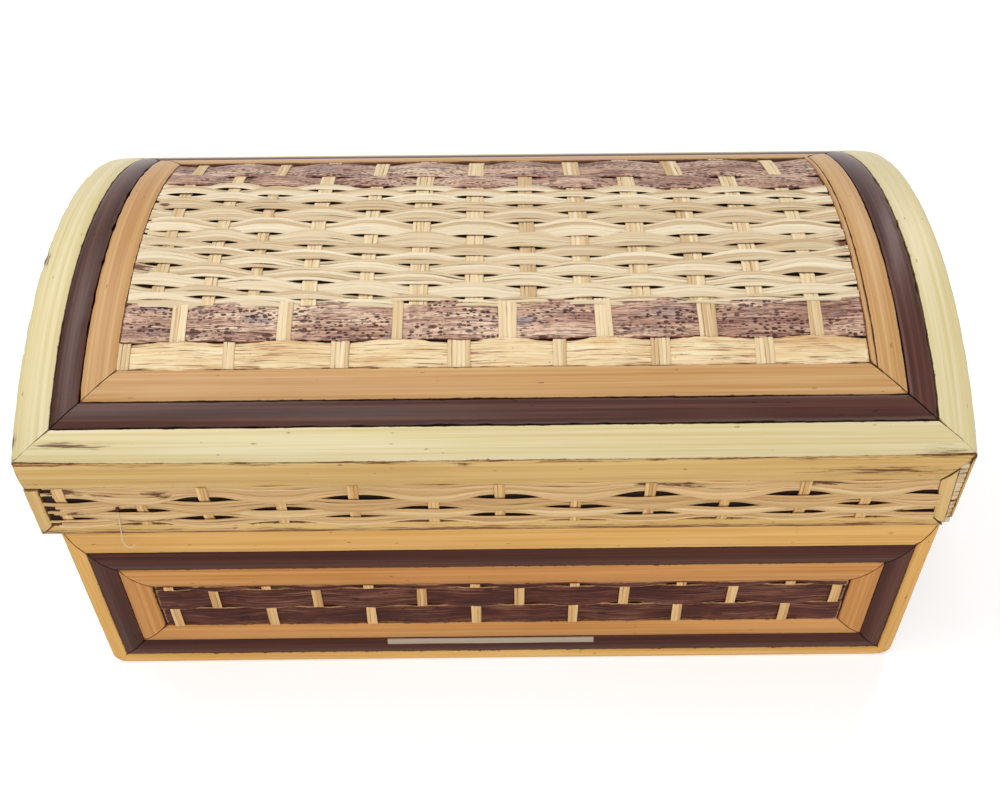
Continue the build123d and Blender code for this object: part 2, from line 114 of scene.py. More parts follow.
def dice(name):
    """The random numbers of one piece, the same in every run."""
    return np.random.default_rng(zlib.crc32(name.encode()))


def ripple(rng, along, wavelength, amount):
    """Smooth uneven wave along a piece."""
    total = np.zeros_like(along)
    for share in WAVE_SHARES:
        phase = rng.uniform(0, 2 * pi)
        total += share * np.sin(2 * pi * along / (wavelength * share * rng.uniform(0.85, 1.15)) + phase)
    return amount * total / sum(WAVE_SHARES)


def nicks(rng, along, depth):
    """Small torn places along a split edge."""
    total = np.zeros_like(along)
    length = along[-1] - along[0]
    for _ in range(int(length / NICK_PITCH)):
        middle = along[0] + rng.uniform(0, length)
        reach = rng.uniform(*NICK_REACH)
        nick = depth * rng.uniform(0.3, 1) * np.exp(-(((along - middle) / reach) ** 4))
        total = np.maximum(total, nick)
    return total


# Surfaces: each turns places along, across and above it into points of the frame


def flat(origin, right, up, out):
    """A flat surface."""
    origin, right, up, out = (np.array(vector) for vector in (origin, right, up, out))

    def place(u, v, w):
        u, v, w = np.broadcast_arrays(u, v, w)
        return origin + u[..., None] * right + v[..., None] * up + w[..., None] * out

    return place


def dome(u, v, w):
    """The dome: u along X, v the arc from its front edge, w above it."""
    u, v, w = np.broadcast_arrays(u, v, w)
    lean = v / DOME_RADIUS - DOME_LEAN
    radius = DOME_RADIUS + w
    return np.stack([u, LID_MIDDLE + radius * np.sin(lean), DOME_AXIS + radius * np.cos(lean)], -1)


def arched_edge(side):
    """The curve of a lid's end: u the arc from front to back, v down from the dome, w outwards."""

    def place(u, v, w):
        u, v, w = np.broadcast_arrays(u, v, w)
        lean = u / DOME_RADIUS - DOME_LEAN
        radius = DOME_RADIUS - v
        across = side * (LID_HALF + w)
        return np.stack([across, LID_MIDDLE + radius * np.sin(lean), DOME_AXIS + radius * np.cos(lean)], -1)

    return place


def under_dome(y, depth):
    """Height of the surface that lies below the dome by a depth."""
    return DOME_AXIS + np.sqrt((DOME_RADIUS - depth) ** 2 - (y - LID_MIDDLE) ** 2)


STAIN_STRENGTH = 1.3


def stain_and_shade_share(points, stains_and_shade):
    """1 at the middle of a mark and 0 outside it: stains, and a few lines of painted shade. Each is a place
    and its reach in three directions.
    """
    share = np.zeros(len(points))
    for place, reach in stains_and_shade:
        away = np.linalg.norm((points - np.array(place) * MM) / (np.array(reach) * MM), axis=1)
        share = np.maximum(share, np.clip(STAIN_STRENGTH * (1 - away), 0, 1))
    return share


class Mesher:
    """Gathers closed bars into one mesh, with their grain, tone, distance to the edge, share of painted warm
    shade, and stains with a few lines of painted shade.
    """

    def __init__(self, warm_shade=0.0, stains_and_shade=()):
        self.warm_shade = warm_shade
        self.stains_and_shade = stains_and_shade
        self.points = []
        self.faces = []
        self.grain = []
        self.tone = []
        self.edge = []
        self.count = 0

    def bar(self, rings, grain, edge, tone):
        """rings is (n, m, 3); grain is (n, m + 1, 2), because the last column closes the first."""
        n, m = rings.shape[:2]
        index = self.count + np.arange(n * m).reshape(n, m)
        after = np.roll(index, -1, axis=1)
        quads = np.stack([index[:-1], after[:-1], after[1:], index[1:]], -1).reshape(-1, 4)
        corners = [grain[:-1, :-1], grain[:-1, 1:], grain[1:, 1:], grain[1:, :-1]]
        self.faces += quads.tolist()
        self.faces += [index[0, ::-1].tolist(), index[-1].tolist()]
        self.grain += [np.stack(corners, 2).reshape(-1, 2), grain[0, -2::-1], grain[-1, :-1]]
        self.points.append(rings.reshape(-1, 3))
        self.edge.append(np.broadcast_to(edge, (n, m)).ravel())
        self.tone.append(np.full(n * m, tone))
        self.count += n * m

    def build(self, name, body, slot, material, *nodes):
        """Makes the mesh into a piece that rides on a body and stands for its CAD nodes."""
        points = np.concatenate(self.points)
        mesh = bpy.data.meshes.new(name)
        mesh.from_pydata(points.tolist(), [], self.faces)
        layer = mesh.uv_layers.new(name="grain")
        layer.uv.foreach_set("vector", np.concatenate(self.grain).astype(np.float32).ravel())
        values = {
            "tone": np.concatenate(self.tone),
            "edge": np.concatenate(self.edge),
            # share of painted warm shade: the base's dimmer, warmer light painted into the colour
            "warm_shade": np.full(len(points), self.warm_shade),
            # weight of the stains and of the lines of painted shade
            "dark_mark": stain_and_shade_share(points, self.stains_and_shade),
        }
        for key, value in values.items():
            attribute = mesh.attributes.new(key, "FLOAT", "POINT")
            attribute.data.foreach_set("value", value.astype(np.float32))
        return finish_piece(name, mesh, body, slot, material, *nodes)


def add_object(name, data):
    """A new object in the scene."""
    made = bpy.data.objects.new(name, data)
    bpy.context.scene.collection.objects.link(made)
    return made


def finish_piece(name, mesh, body, slot, material, *nodes):
    """Turns the faces outwards, shades them, and hands the piece to the frame."""
    shape = bmesh.new()
    shape.from_mesh(mesh)
    bmesh.ops.recalc_face_normals(shape, faces=shape.faces)
    shape.to_mesh(mesh)
    shape.free()
    mesh.shade_smooth()
    mesh.set_sharp_from_angle(angle=SHARP_ANGLE)
    mesh.materials.append(material)
    piece = add_object(name, mesh)
    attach(piece, body)
    if nodes:
        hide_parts(*nodes)
    return piece


def ribbon(mesher, surface, outer, inner, lift, thickness, camber, tone, round_off=EDGE_ROUND, columns=5):
    """A flat bar between two edges given in the surface's own places, domed across by its camber."""
    width = np.linalg.norm(inner - outer, axis=1)[:, None]
    shoulder = np.minimum(round_off, width / 3)
    near = np.concatenate([0 * width, 0.25 * shoulder, shoulder], 1)
    shares = np.linspace(0, 1, columns + 2)[None, 1:-1]
    middle = shoulder + (width - 2 * shoulder) * shares
    inset = np.concatenate([near, middle, width - near[:, ::-1]], 1)
    to_edge = np.minimum(inset, width - inset)
    bend = 1 - np.minimum(to_edge, shoulder) / shoulder
    height = -camber * (2 * inset / width - 1) ** 2 - round_off * (1 - np.sqrt(1 - bend**2))
    height = lift[:, None] + height
    floor = lift[:, None] - thickness
    inset = np.concatenate([0 * width, inset, width], 1)
    height = np.concatenate([floor, height, floor], 1)
    to_edge = np.concatenate([0 * width, to_edge, 0 * width], 1)
    place = outer[:, None, :] + (inner - outer)[:, None, :] * (inset / width)[:, :, None]
    for end in (place[:1], place[-1:]):
        to_edge = np.minimum(to_edge, np.linalg.norm(place - end, axis=2))
    rings = surface(place[..., 0], place[..., 1], height)
    run = (outer[-1] + inner[-1] - outer[0] - inner[0]) / 2
    run = run / np.linalg.norm(run)
    along, across = (place - outer[0]) @ run, (place - outer[0]) @ np.array([-run[1], run[0]])
    grain = np.stack([along, across], -1)
    grain = np.concatenate([grain, grain[:, :1]], 1)
    mesher.bar(rings, grain, to_edge, tone)


def strip(
    mesher,
    surface,
    corners,
    rng,
    camber=SPLIT_CAMBER,
    torn=(0.0, 0.0),
    opened=0.0,
    worn=(0.0, 0.0),
    thickness=STRIP_THICKNESS,
):
    """A split strip with sawn ends. corners run along its outer edge, then back along its inner edge.

    torn is how deep its outer and inner edges are nicked, opened how far the outer edge stands off at
    its ends, and worn the radius of its two outer corners.
    """
    a, b, c, d = (np.array(corner, float) for corner in corners)
    length = max(np.linalg.norm(b - a), np.linalg.norm(c - d))
    count = max(8, int(length / STRIP_STEP))
    share = np.linspace(MITRE_GAP / length, 1 - MITRE_GAP / length, count)[:, None]
    outer = a + (b - a) * share
    inner = d + (c - d) * share
    run = (b - a) / np.linalg.norm(b - a)
    inward = d + c - a - b
    inward = inward - (inward @ run) * run
    inward = inward / np.linalg.norm(inward)
    along = share[:, 0] * length
    for edge, way, depth in ((outer, 1, torn[0]), (inner, -1, torn[1])):
        rough = ripple(rng, along, *LONG_RAGGED) + ripple(rng, along, *SHORT_RAGGED)
        rough = np.maximum(rough + 0.8 * RAGGED_EDGE, 0) + nicks(rng, along, depth)
        edge += way * inward * rough[:, None]
    outer += inward * (opened * np.abs(2 * share - 1) ** 6)
    for end, radius in ((along, worn[0]), (length - along, worn[1])):
        if radius:
            short = np.clip(radius - end, 0, radius)
            outer += inward * (radius - np.sqrt(radius**2 - short**2))[:, None]
    ribbon(mesher, surface, outer, inner, np.zeros(count), thickness, camber, rng.uniform())


def levels(along, stakes, over, plateau):
    """1 where a weft lies over a stake, -1 where it lies under one, and smooth between them."""
    pitch = (stakes[-1] - stakes[0]) / (len(stakes) - 1)
    places = np.concatenate([[stakes[0] - pitch], stakes, [stakes[-1] + pitch]])
    signs = np.where((np.arange(len(places)) % 2 == 1) == over, 1.0, -1.0)
    index = np.clip(np.searchsorted(places, along) - 1, 0, len(places) - 2)
    share = (along - places[index]) / (places[index + 1] - places[index])
    share = np.clip((share - plateau) / (1 - 2 * plateau), 0, 1)
    share = share * share * (3 - 2 * share)
    return signs[index] + (signs[index + 1] - signs[index]) * share


FIBRE_SIDES = 10


def fibre(mesher, surface, line, lift, width, thickness, turn, tone, upright=False):
    """A rattan fibre of flattened section along a line of the surface."""
    angle = turns(FIBRE_SIDES)[None, :]
    across = np.sign(np.cos(angle)) * np.abs(np.cos(angle)) ** 0.7 * width[:, None] / 2
    height = np.sign(np.sin(angle)) * np.abs(np.sin(angle)) ** 0.7 * thickness / 2
    side = across * np.cos(turn)[:, None] - height * np.sin(turn)[:, None]
    rise = across * np.sin(turn)[:, None] + height * np.cos(turn)[:, None]
    u = line[:, :1] + (side if upright else 0 * side)
    v = line[:, 1:] + (0 * side if upright else side)
    rings = surface(u, v, lift[:, None] + rise)
    steps = np.linalg.norm(np.diff(line, axis=0), axis=1)
    along = np.concatenate([[0], np.cumsum(steps)])
    around = np.linspace(0, 1, FIBRE_SIDES + 1) * np.mean(width) * 2
    grain = np.stack(np.broadcast_arrays(along[:, None], around[None, :]), -1)
    mesher.bar(rings, grain, np.mean(width) / 2, tone)


# A weave lies between the strips' outer face and the board: how deep its middle lies, how far it
# swings over and under, how thick it is, and how much of a pitch it stays up or down
FIBRE_STEP = 1.0 * MM
FIBRE_DEPTH, FIBRE_SWING, FIBRE_THICKNESS, FIBRE_PLATEAU = 0.78 * MM, 0.4 * MM, 0.5 * MM, 0.1
SLAT_DEPTH, SLAT_SWING, SLAT_THICKNESS, SLAT_PLATEAU = 0.45 * MM, 0.36 * MM, 0.45 * MM, 0.14
SLAT_BULGE, SLAT_CAMBER, SLAT_ROUND, SLAT_COLUMNS = 0.32 * MM, 0.2 * MM, 0.15 * MM, 7
STAKE_STEP = 0.7 * MM
STAKE_DEPTH, STAKE_SWING, STAKE_THICKNESS, STAKE_EASE = 0.9 * MM, 0.3 * MM, 0.45 * MM, 0.9 * MM
DOME_BUNDLE = (0.56, 0.06, 0.1)
SKIRT_BUNDLE = (0.5, 0.1, -0.085)

# Wavelength and amount of each unevenness of a weave
ROW_WAVE, SPREAD_WAVE, WANDER_WAVE = (90 * MM, 0.25 * MM), (34 * MM, 0.2 * MM), (38 * MM, 0.2 * MM)
LIFT_WAVE, TURN_WAVE = (22 * MM, 0.1 * MM), (60 * MM, 0.3)
LONG_SLAT_WAVE, SHORT_SLAT_WAVE = (35 * MM, 0.3 * MM), (6 * MM, 0.18 * MM)
SLAT_LIFT_WAVE = (18 * MM, 0.08 * MM)
STAKE_WAVE, STAKE_LIFT_WAVE, STAKE_TURN_WAVE = (70 * MM, 0.15 * MM), (30 * MM, 0.03 * MM), (60 * MM, 0.12)
STAKE_WANDER = 0.04


def samples_between(low, high):
    """Places along a row from one end to the other."""
    return np.linspace(low, high, max(12, int((high - low) / FIBRE_STEP)))


def bundle(mesher, surface, along, bottom, top, stakes, over, count, rng, frayed=0.0, form=DOME_BUNDLE):
    """One row of rattan: fibres side by side that pass over and under the stakes and fan out over them.

    Up to a length that frayed gives, some of them have come off at the left end. form is the row's
    half width in pitches, how much wider it is over a stake, and how far it swings up there.
    """
    half_width, fan, swing = form
    pitch = np.broadcast_to(top - bottom, along.shape)
    level = levels(along, stakes, over, FIBRE_PLATEAU)
    rise = swing * pitch * (level + 0.3) + ripple(rng, along, *ROW_WAVE)
    middle = (bottom + top) / 2 + rise
    spread = pitch * (half_width + fan * (level - 0.2)) + ripple(rng, along, *SPREAD_WAVE)
    for number in range(count):
        share = (number - (count - 1) / 2) / count * 2
        wander = ripple(rng, along, *WANDER_WAVE)
        line = np.stack([along, middle + share * spread + wander], -1)
        width = 2 * spread / count * rng.uniform(0.92, 1.26)
        lift = -FIBRE_DEPTH + level * FIBRE_SWING + ripple(rng, along, *LIFT_WAVE)
        turn = ripple(rng, along, *TURN_WAVE) + share * 0.12 * level
        first = int(rng.uniform(0, frayed) / FIBRE_STEP)
        kept = [values[first:] for values in (line, lift, width)]
        fibre(mesher, surface, *kept, FIBRE_THICKNESS, turn[first:], rng.uniform())


def slat(mesher, surface, along, bottom, top, stakes, over, rng, panel=(-1, 1), depth=SLAT_DEPTH):
    """One row of bark: a wide flat strip that passes over and under the stakes, inside its panel."""
    level = levels(along, stakes, over, SLAT_PLATEAU)
    edges = []
    for place, way in ((bottom, 1), (top, -1)):
        rough = ripple(rng, along, *LONG_SLAT_WAVE) + ripple(rng, along, *SHORT_SLAT_WAVE)
        edge = place + rough - way * (level * SLAT_BULGE + 0.1 * MM)
        edges.append(np.stack([along, np.clip(edge, *panel)], -1))
    lift = level * SLAT_SWING - depth + ripple(rng, along, *SLAT_LIFT_WAVE)
    form = (SLAT_THICKNESS, SLAT_CAMBER, rng.uniform(), SLAT_ROUND, SLAT_COLUMNS)
    ribbon(mesher, surface, *edges, lift, *form)


def stake(mesher, surface, place, bottom, top, width, rng, number, bends, fibres):
    """An upright: fibres side by side that stand out between the rows and dip behind them.

    bends are the edges of the rows and whether each row's weft lies over the even stakes.
    """
    samples = max(10, int((top - bottom) / STAKE_STEP))
    along = np.linspace(bottom, top, samples)
    edges, overs = bends
    row = np.clip(np.searchsorted(edges, along) - 1, 0, len(overs) - 1)
    hidden = np.array([over == (number % 2 == 0) for over in overs])
    inside = np.minimum(along - edges[row], edges[row + 1] - along)
    rise = np.clip(inside / STAKE_EASE + 0.35, 0, 1)
    level = np.where(hidden[row], -rise, rise)
    middle = place + ripple(rng, along, *STAKE_WAVE)
    for count in range(fibres):
        share = (count - (fibres - 1) / 2) / fibres
        wander = ripple(rng, along, 40 * MM, STAKE_WANDER * width)
        line = np.stack([middle + share * width + wander, along], -1)
        thick = np.full(samples, width / fibres * rng.uniform(1.0, 1.12))
        lift = -STAKE_DEPTH + STAKE_SWING * level + ripple(rng, along, *STAKE_LIFT_WAVE)
        turn = ripple(rng, along, *STAKE_TURN_WAVE)
        fibre(mesher, surface, line, lift, thick, STAKE_THICKNESS, turn, rng.uniform(), True)


def row_bends(rows, first_over):
    """Edges of rows in the order of their height, and which of them lie over the even stakes."""
    return np.array(rows), [first_over == (number % 2 == 0) for number in range(len(rows) - 1)]


# Materials


class Nodes:
    """A tree of shader nodes, made by short calls."""

    def __init__(self, owner):
        owner.use_nodes = True
        self.tree = owner.node_tree
        self.tree.nodes.clear()

    def node(self, kind, inputs=None, **settings):
        made = self.tree.nodes.new("ShaderNode" + kind)
        for key, value in settings.items():
            setattr(made, key, value)
        for key, value in (inputs or {}).items():
            self.feed(made.inputs[key], value)
        return made

    def feed(self, socket, value):
        if isinstance(value, bpy.types.NodeSocket):
            self.tree.links.new(value, socket)
        else:
            socket.default_value = value

    def maths(self, operation, first, second=0.0, third=0.0):
        return self.node("Math", {0: first, 1: second, 2: third}, operation=operation).outputs[0]

    def window(self, value, low, high):
        """0 at low, 1 at high, and smooth between."""
        made = self.node("MapRange", {0: value, 1: low, 2: high}, interpolation_type="SMOOTHSTEP")
        return made.outputs[0]


class Shader(Nodes):
    """A material and its nodes."""

    def __init__(self, name):
        self.material = bpy.data.materials.new(name)
        super().__init__(self.material)
        self.output = self.node("OutputMaterial")

    def mix(self, share, first, second, blend="MIX"):
        made = self.node("Mix", data_type="RGBA", blend_type=blend)
        for number, value in ((0, share), (6, first), (7, second)):
            self.feed(made.inputs[number], value)
        return made.outputs[2]

    def tint(self, colour, share, amount, other):
        """Part of the way to another colour where share is 1."""
        return self.mix(self.maths("MULTIPLY", share, amount), colour, other)

    def ramp(self, value, *stops):
        made = self.node("ValToRGB", {0: value})
        elements = made.color_ramp.elements
        for number, (place, colour) in enumerate(stops):
            element = elements[number] if number < 2 else elements.new(place)
            element.position = place
            element.color = colour
        return made.outputs[0]

    def grain(self, along, across, shift=40.0):
        """Places along and across the grain, in cycles per millimetre, moved apart from bar to bar."""
        place = self.node("UVMap", uv_map="grain").outputs[0]
        parts = self.node("SeparateXYZ", {0: place})
        u = self.maths("MULTIPLY", parts.outputs[0], along / MM)
        v = self.maths("MULTIPLY", parts.outputs[1], across / MM)
        w = self.maths("MULTIPLY", self.attribute("tone"), shift)
        return self.node("CombineXYZ", {0: u, 1: v, 2: w}).outputs[0]

    def attribute(self, name):
        return self.node("Attribute", attribute_name=name).outputs["Fac"]

    def noise(self, place, scale=1.0, detail=3.0, roughness=0.55):
        inputs = {"Vector": place, "Scale": scale, "Detail": detail, "Roughness": roughness}
        return self.node("TexNoise", inputs).outputs[0]

    def dots(self, place, least, most, warp):
        """Ragged dots, one in each cell, with a radius between least and most."""
        cells = self.node("TexVoronoi", {"Vector": place, "Scale": 1.0}).outputs
        rough = self.maths("MULTIPLY", self.maths("SUBTRACT", self.noise(place, 4.0), 0.5), warp)
        away = self.maths("ADD", cells["Distance"], rough)
        chance = self.node("SeparateXYZ", {0: cells["Color"]}).outputs[0]
        radius = self.maths("MULTIPLY_ADD", chance, most - least, least)
        return self.window(away, self.maths("ADD", radius, 0.07), radius)

    def bump(self, height, strength, distance):
        inputs = {"Height": height, "Strength": strength, "Distance": distance}
        return self.node("Bump", inputs).outputs[0]

    def close(self, colour, roughness, normal, **sockets):
        """The one shader that the material ends in."""
        inputs = {"Base Color": colour, "Roughness": roughness, "Specular IOR Level": 0.32, "Normal": normal}
        inputs.update({key.replace("_", " "): value for key, value in sockets.items()})
        surface = self.node("BsdfPrincipled", inputs)
        self.tree.links.new(surface.outputs[0], self.output.inputs[0])
        return self.material

    def warm_shaded(self, colour, warm_shade_tint):
        """Painted warm shade: the colour darkened and warmed where a piece is marked, for the base's dimmer,
        warmer light and that of what else is marked.
        """
        return self.mix(self.attribute("warm_shade"), colour, self.mix(1.0, colour, warm_shade_tint, "MULTIPLY"))

    def stain_and_shade_streaks(self, colour, dark_mark, scale=(0.12, 2.2)):
        """Dark ragged streaks with a paler halo where a piece is marked: real stains, and on a few strips
        painted shade.
        """
        rough = self.noise(self.grain(*scale), detail=4.0, roughness=0.65)
        mark = self.maths("MULTIPLY", self.attribute("dark_mark"), 0.55)
        share = self.maths("MULTIPLY_ADD", rough, 1.8, mark)
        marked = self.window(self.attribute("dark_mark"), 0.0, 0.25)
        halo = self.maths("MULTIPLY", self.window(share, 0.95, 1.25), marked)
        colour = self.tint(colour, halo, 0.25, dark_mark)
        share = self.maths("MULTIPLY", self.window(share, 1.15, 1.42), marked)
        return self.tint(colour, share, 0.9, dark_mark)


# What the painted warm shade, the base's dimmer and warmer light, multiplies a colour by
WARM_SHADE_STRIP = (1.25, 1.03, 0.8, 1.0)
WARM_SHADE_DARK_STRIP = (1.0, 0.74, 0.55, 1.0)
WARM_SHADE_RATTAN = (1.12, 0.94, 0.7, 1.0)
RATTAN_STAIN = srgb(96, 44, 22)


def bamboo(name, colours, gloss, shine, cracks=0.7, warm_shade_tint=WARM_SHADE_STRIP):
    """Split bamboo or cane: long fine streaks, soft blotches, dark torn edges and a satin skin."""
    s = Shader(name)
    deep, plain, light, dark_mark = (srgb(*colour) for colour in colours)
    streaks = s.noise(s.grain(0.008, 0.9), detail=4.0, roughness=0.6)
    hairs = s.noise(s.grain(0.02, 5.0), detail=2.0)
    clouds = s.noise(s.grain(0.012, 0.07), detail=2.0)
    colour = s.ramp(streaks, (0.28, deep), (0.5, plain), (0.72, light))
    colour = s.tint(colour, s.window(hairs, 0.55, 0.78), 0.35, deep)
    colour = s.tint(colour, s.window(clouds, 0.48, 0.72), 0.4, light)
    colour = s.tint(colour, s.window(clouds, 0.46, 0.25), 0.4, deep)
    blots = s.noise(s.grain(0.03, 0.45), detail=5.0, roughness=0.75)
    colour = s.tint(colour, s.window(blots, cracks, cracks + 0.1), 0.55, dark_mark)
    specks = s.dots(s.grain(0.22, 0.7), -0.9, 0.16, 0.4)
    colour = s.tint(colour, specks, 0.5, dark_mark)
    # painted warm shade where a piece is marked
    colour = s.warm_shaded(colour, warm_shade_tint)
    frayed = s.noise(s.grain(0.35, 0.3), detail=5.0, roughness=0.75)
    edge = s.maths("MULTIPLY", s.attribute("edge"), 1 / MM)
    edge = s.maths("SUBTRACT", edge, s.maths("MULTIPLY", s.window(frayed, 0.48, 0.85), 0.55))
    colour = s.tint(colour, s.window(edge, 0.14, -0.05), 0.85, dark_mark)
    # stains, and on a few strips lines of painted shade
    colour = s.stain_and_shade_streaks(colour, dark_mark)
    height = s.maths("ADD", streaks, s.maths("MULTIPLY", hairs, 0.4))
    roughness = s.maths("MULTIPLY_ADD", streaks, 0.12, gloss)
    roughness = s.maths("MULTIPLY_ADD", s.attribute("warm_shade"), 0.2, roughness)
    return s.close(colour, roughness, s.bump(height, 0.22, 0.1 * MM), Specular_IOR_Level=shine)


def rattan(name, colours, flecks=0.66):
    """Fine rattan fibre: matt, streaked along its length, with a few brown flecks."""
    s = Shader(name)
    deep, plain, light, dark_mark = (srgb(*colour) for colour in colours)
    streaks = s.noise(s.grain(0.015, 2.4), detail=4.0, roughness=0.65)
    value = s.maths("MULTIPLY_ADD", s.attribute("tone"), 0.3, s.maths("MULTIPLY", streaks, 0.7))
    colour = s.ramp(value, (0.3, deep), (0.5, plain), (0.7, light))
    marks = s.noise(s.grain(0.06, 0.9), detail=5.0, roughness=0.75)
    colour = s.tint(colour, s.window(marks, flecks, flecks + 0.1), 0.7, dark_mark)
    # painted warm shade where a piece is marked, then the stains
    colour = s.stain_and_shade_streaks(s.warm_shaded(colour, WARM_SHADE_RATTAN), RATTAN_STAIN, (0.2, 1.2))
    return s.close(colour, 0.6, s.bump(streaks, 0.5, 0.14 * MM), Specular_IOR_Level=0.2)


def bark(name, deep, plain, light, spot, patch, edge, dots, ovals, lines):
    """Bark slat: fine lines along it, dark ragged dots and ovals, patches, and edges of another colour."""
    s = Shader(name)
    streaks = s.noise(s.grain(0.06, 1.5), detail=6.0, roughness=0.72)
    clouds = s.noise(s.grain(0.03, 0.13), detail=3.0)
    value = s.maths("MULTIPLY_ADD", clouds, 0.4, s.maths("MULTIPLY", streaks, 0.6))
    colour = s.ramp(value, (0.38, deep), (0.5, plain), (0.62, light))
    patches = s.noise(s.grain(0.05, 0.2, 71.0), detail=4.0, roughness=0.65)
    colour = s.tint(colour, s.window(patches, 0.54, 0.68), 0.75, patch)
    worn = s.noise(s.grain(0.12, 0.9, 33.0), detail=5.0, roughness=0.75)
    inset = s.maths("MULTIPLY", s.attribute("edge"), 0.5 / MM)
    colour = s.tint(colour, s.window(s.maths("SUBTRACT", worn, inset), 0.3, 0.45), 0.8, edge)
    crowd = s.window(s.noise(s.grain(0.05, 0.16, 23.0), detail=2.0), 0.34, 0.54)
    small = s.dots(s.grain(0.62, 1.1), dots - 0.3, dots, 0.35)
    dashes = s.dots(s.grain(0.3, 2.4, 91.0), dots - 0.35, dots, 0.3)
    large = s.dots(s.grain(0.2, 0.42, 57.0), -0.5, 0.34, 0.2)
    marks = s.maths("MAXIMUM", s.maths("MULTIPLY", small, crowd), s.maths("MULTIPLY", large, ovals))
    marks = s.maths("MAXIMUM", marks, s.maths("MULTIPLY", dashes, 0.6))
    colour = s.tint(colour, marks, 0.9, spot)
    cracks = s.noise(s.grain(0.1, 3.4), detail=3.0)
    colour = s.tint(colour, s.window(cracks, 0.54, 0.66), lines, spot)
    colour = s.stain_and_shade_streaks(colour, spot)
    height = s.maths("SUBTRACT", streaks, s.maths("MULTIPLY", marks, 0.3))
    return s.close(colour, 0.55, s.bump(height, 0.55, 0.2 * MM), Specular_IOR_Level=0.12)


def plank(name, deep, plain, light, stretch):
    """Plain board whose grain runs along X, in the frame's own places."""
    s = Shader(name)
    place = s.node("TexCoord").outputs["Object"]
    place = s.node("Mapping", {"Vector": place, "Scale": stretch}).outputs[0]
    streaks = s.noise(place, 1.0, 5.0, 0.6)
    colour = s.ramp(streaks, (0.3, deep), (0.5, plain), (0.7, light))
    return s.close(colour, 0.75, s.bump(streaks, 0.3, 0.2 * MM))


def cloth(name, deep, plain):
    """Plain cotton: threads that cross on every side, slubs, and soft clouds where it was pressed."""
    s = Shader(name)
    place = s.node("TexCoord").outputs["Object"]
    threads = []
    for way in "XYZ":
        inputs = {"Vector": place, "Scale": 520.0, "Distortion": 0.6, "Detail": 1.0, "Detail Scale": 0.3}
        threads.append(s.node("TexWave", inputs, bands_direction=way).outputs[1])
    weave = s.maths("ADD", s.maths("ADD", *threads[:2]), threads[2])
    slubs = s.noise(place, 700.0, 3.0)
    clouds = s.noise(place, 28.0, 3.0)
    value = s.maths("MULTIPLY_ADD", weave, 0.25, s.maths("MULTIPLY", slubs, 0.4))
    colour = s.mix(value, deep, plain)
    colour = s.tint(colour, s.window(clouds, 0.4, 0.7), 0.3, deep)
    height = s.maths("MULTIPLY_ADD", slubs, 0.6, weave)
    return s.close(colour, 0.85, s.bump(height, 0.2, 0.1 * MM), Sheen_Weight=0.2, Sheen_Roughness=0.5)


def brass(name):
    """Aged brass: warm metal, dulled in patches."""
    s = Shader(name)
    place = s.node("TexCoord").outputs["Object"]
    patches = s.noise(place, 260.0, 4.0, 0.6)
    scratches = s.noise(place, 1400.0, 2.0)
    deep, plain, light = srgb(150, 116, 64), srgb(186, 148, 84), srgb(202, 166, 100)
    colour = s.ramp(patches, (0.35, deep), (0.55, plain), (0.75, light))
    roughness = s.maths("MULTIPLY_ADD", patches, 0.25, 0.26)
    return s.close(colour, roughness, s.bump(scratches, 0.12, 0.05 * MM), Metallic=1.0)


PALE = bamboo(
    "pale_bamboo",
    [(197, 179, 124), (211, 196, 148), (221, 209, 176), (92, 52, 28)],
    gloss=0.34,
    shine=0.34,
)
GOLD = bamboo(
    "golden_bamboo",
    [(198, 160, 98), (216, 184, 120), (228, 202, 150), (104, 50, 20)],
    gloss=0.4,
    shine=0.18,
)
TAN = bamboo(
    "tan_bamboo",
    [(170, 120, 68), (188, 144, 91), (202, 164, 114), (84, 42, 20)],
    gloss=0.34,
    shine=0.26,
)
DARK = bamboo(
    "dark_bamboo",
    [(50, 26, 20), (73, 42, 34), (98, 63, 54), (30, 15, 11)],
    gloss=0.25,
    shine=0.18,
    cracks=0.75,
    warm_shade_tint=WARM_SHADE_DARK_STRIP,
)
FIBRE = rattan("rattan_fibre", [(188, 160, 122), (217, 198, 165), (232, 219, 192), (132, 84, 52)])
STAKE = rattan("stake", [(190, 156, 112), (222, 198, 156), (234, 214, 178), (130, 84, 52)], 0.7)
# the slip's pale colour is partly the tape's own milky colour and partly painted reflection
PALE_SLIP_AND_REFLECTION = rattan("slip_with_painted_reflection", [(168, 152, 130), (188, 172, 152), (200, 188, 170), (150, 130, 110)], 0.8)
PALE_BARK = bark(
    "pale_bark",
    deep=srgb(206, 166, 116),
    plain=srgb(226, 202, 158),
    light=srgb(238, 222, 186),
    spot=srgb(132, 72, 42),
    patch=srgb(222, 186, 134),
    edge=srgb(206, 160, 112),
    dots=0.1,
    ovals=0.0,
    lines=0.85,
)
BROWN_BARK = bark(
    "brown_bark",
    deep=srgb(134, 94, 84),
    plain=srgb(194, 156, 134),
    light=srgb(236, 208, 182),
    spot=srgb(54, 21, 24),
    patch=srgb(150, 138, 142),
    edge=srgb(124, 62, 46),
    dots=0.48,
    ovals=0.9,
    lines=0.85,
)
DARK_BARK = bark(
    "dark_bark",
    deep=srgb(54, 22, 18),
    plain=srgb(86, 44, 34),
    light=srgb(146, 100, 80),
    spot=srgb(26, 9, 8),
    patch=srgb(112, 58, 42),
    edge=srgb(196, 150, 106),
    dots=0.12,
    ovals=0.6,
    lines=0.7,
)
# near black: dark wood, darkened further as painted shade of the deep gaps where the board shows
SHADED_BOARD = plank("board", srgb(34, 20, 12), srgb(46, 28, 17), srgb(60, 38, 24), (20.0, 300.0, 300.0))
LINING = cloth("lining", srgb(150, 116, 80), srgb(206, 174, 134))
BRASS = brass("brass")


# The lid's dome: three rings of mitred strips

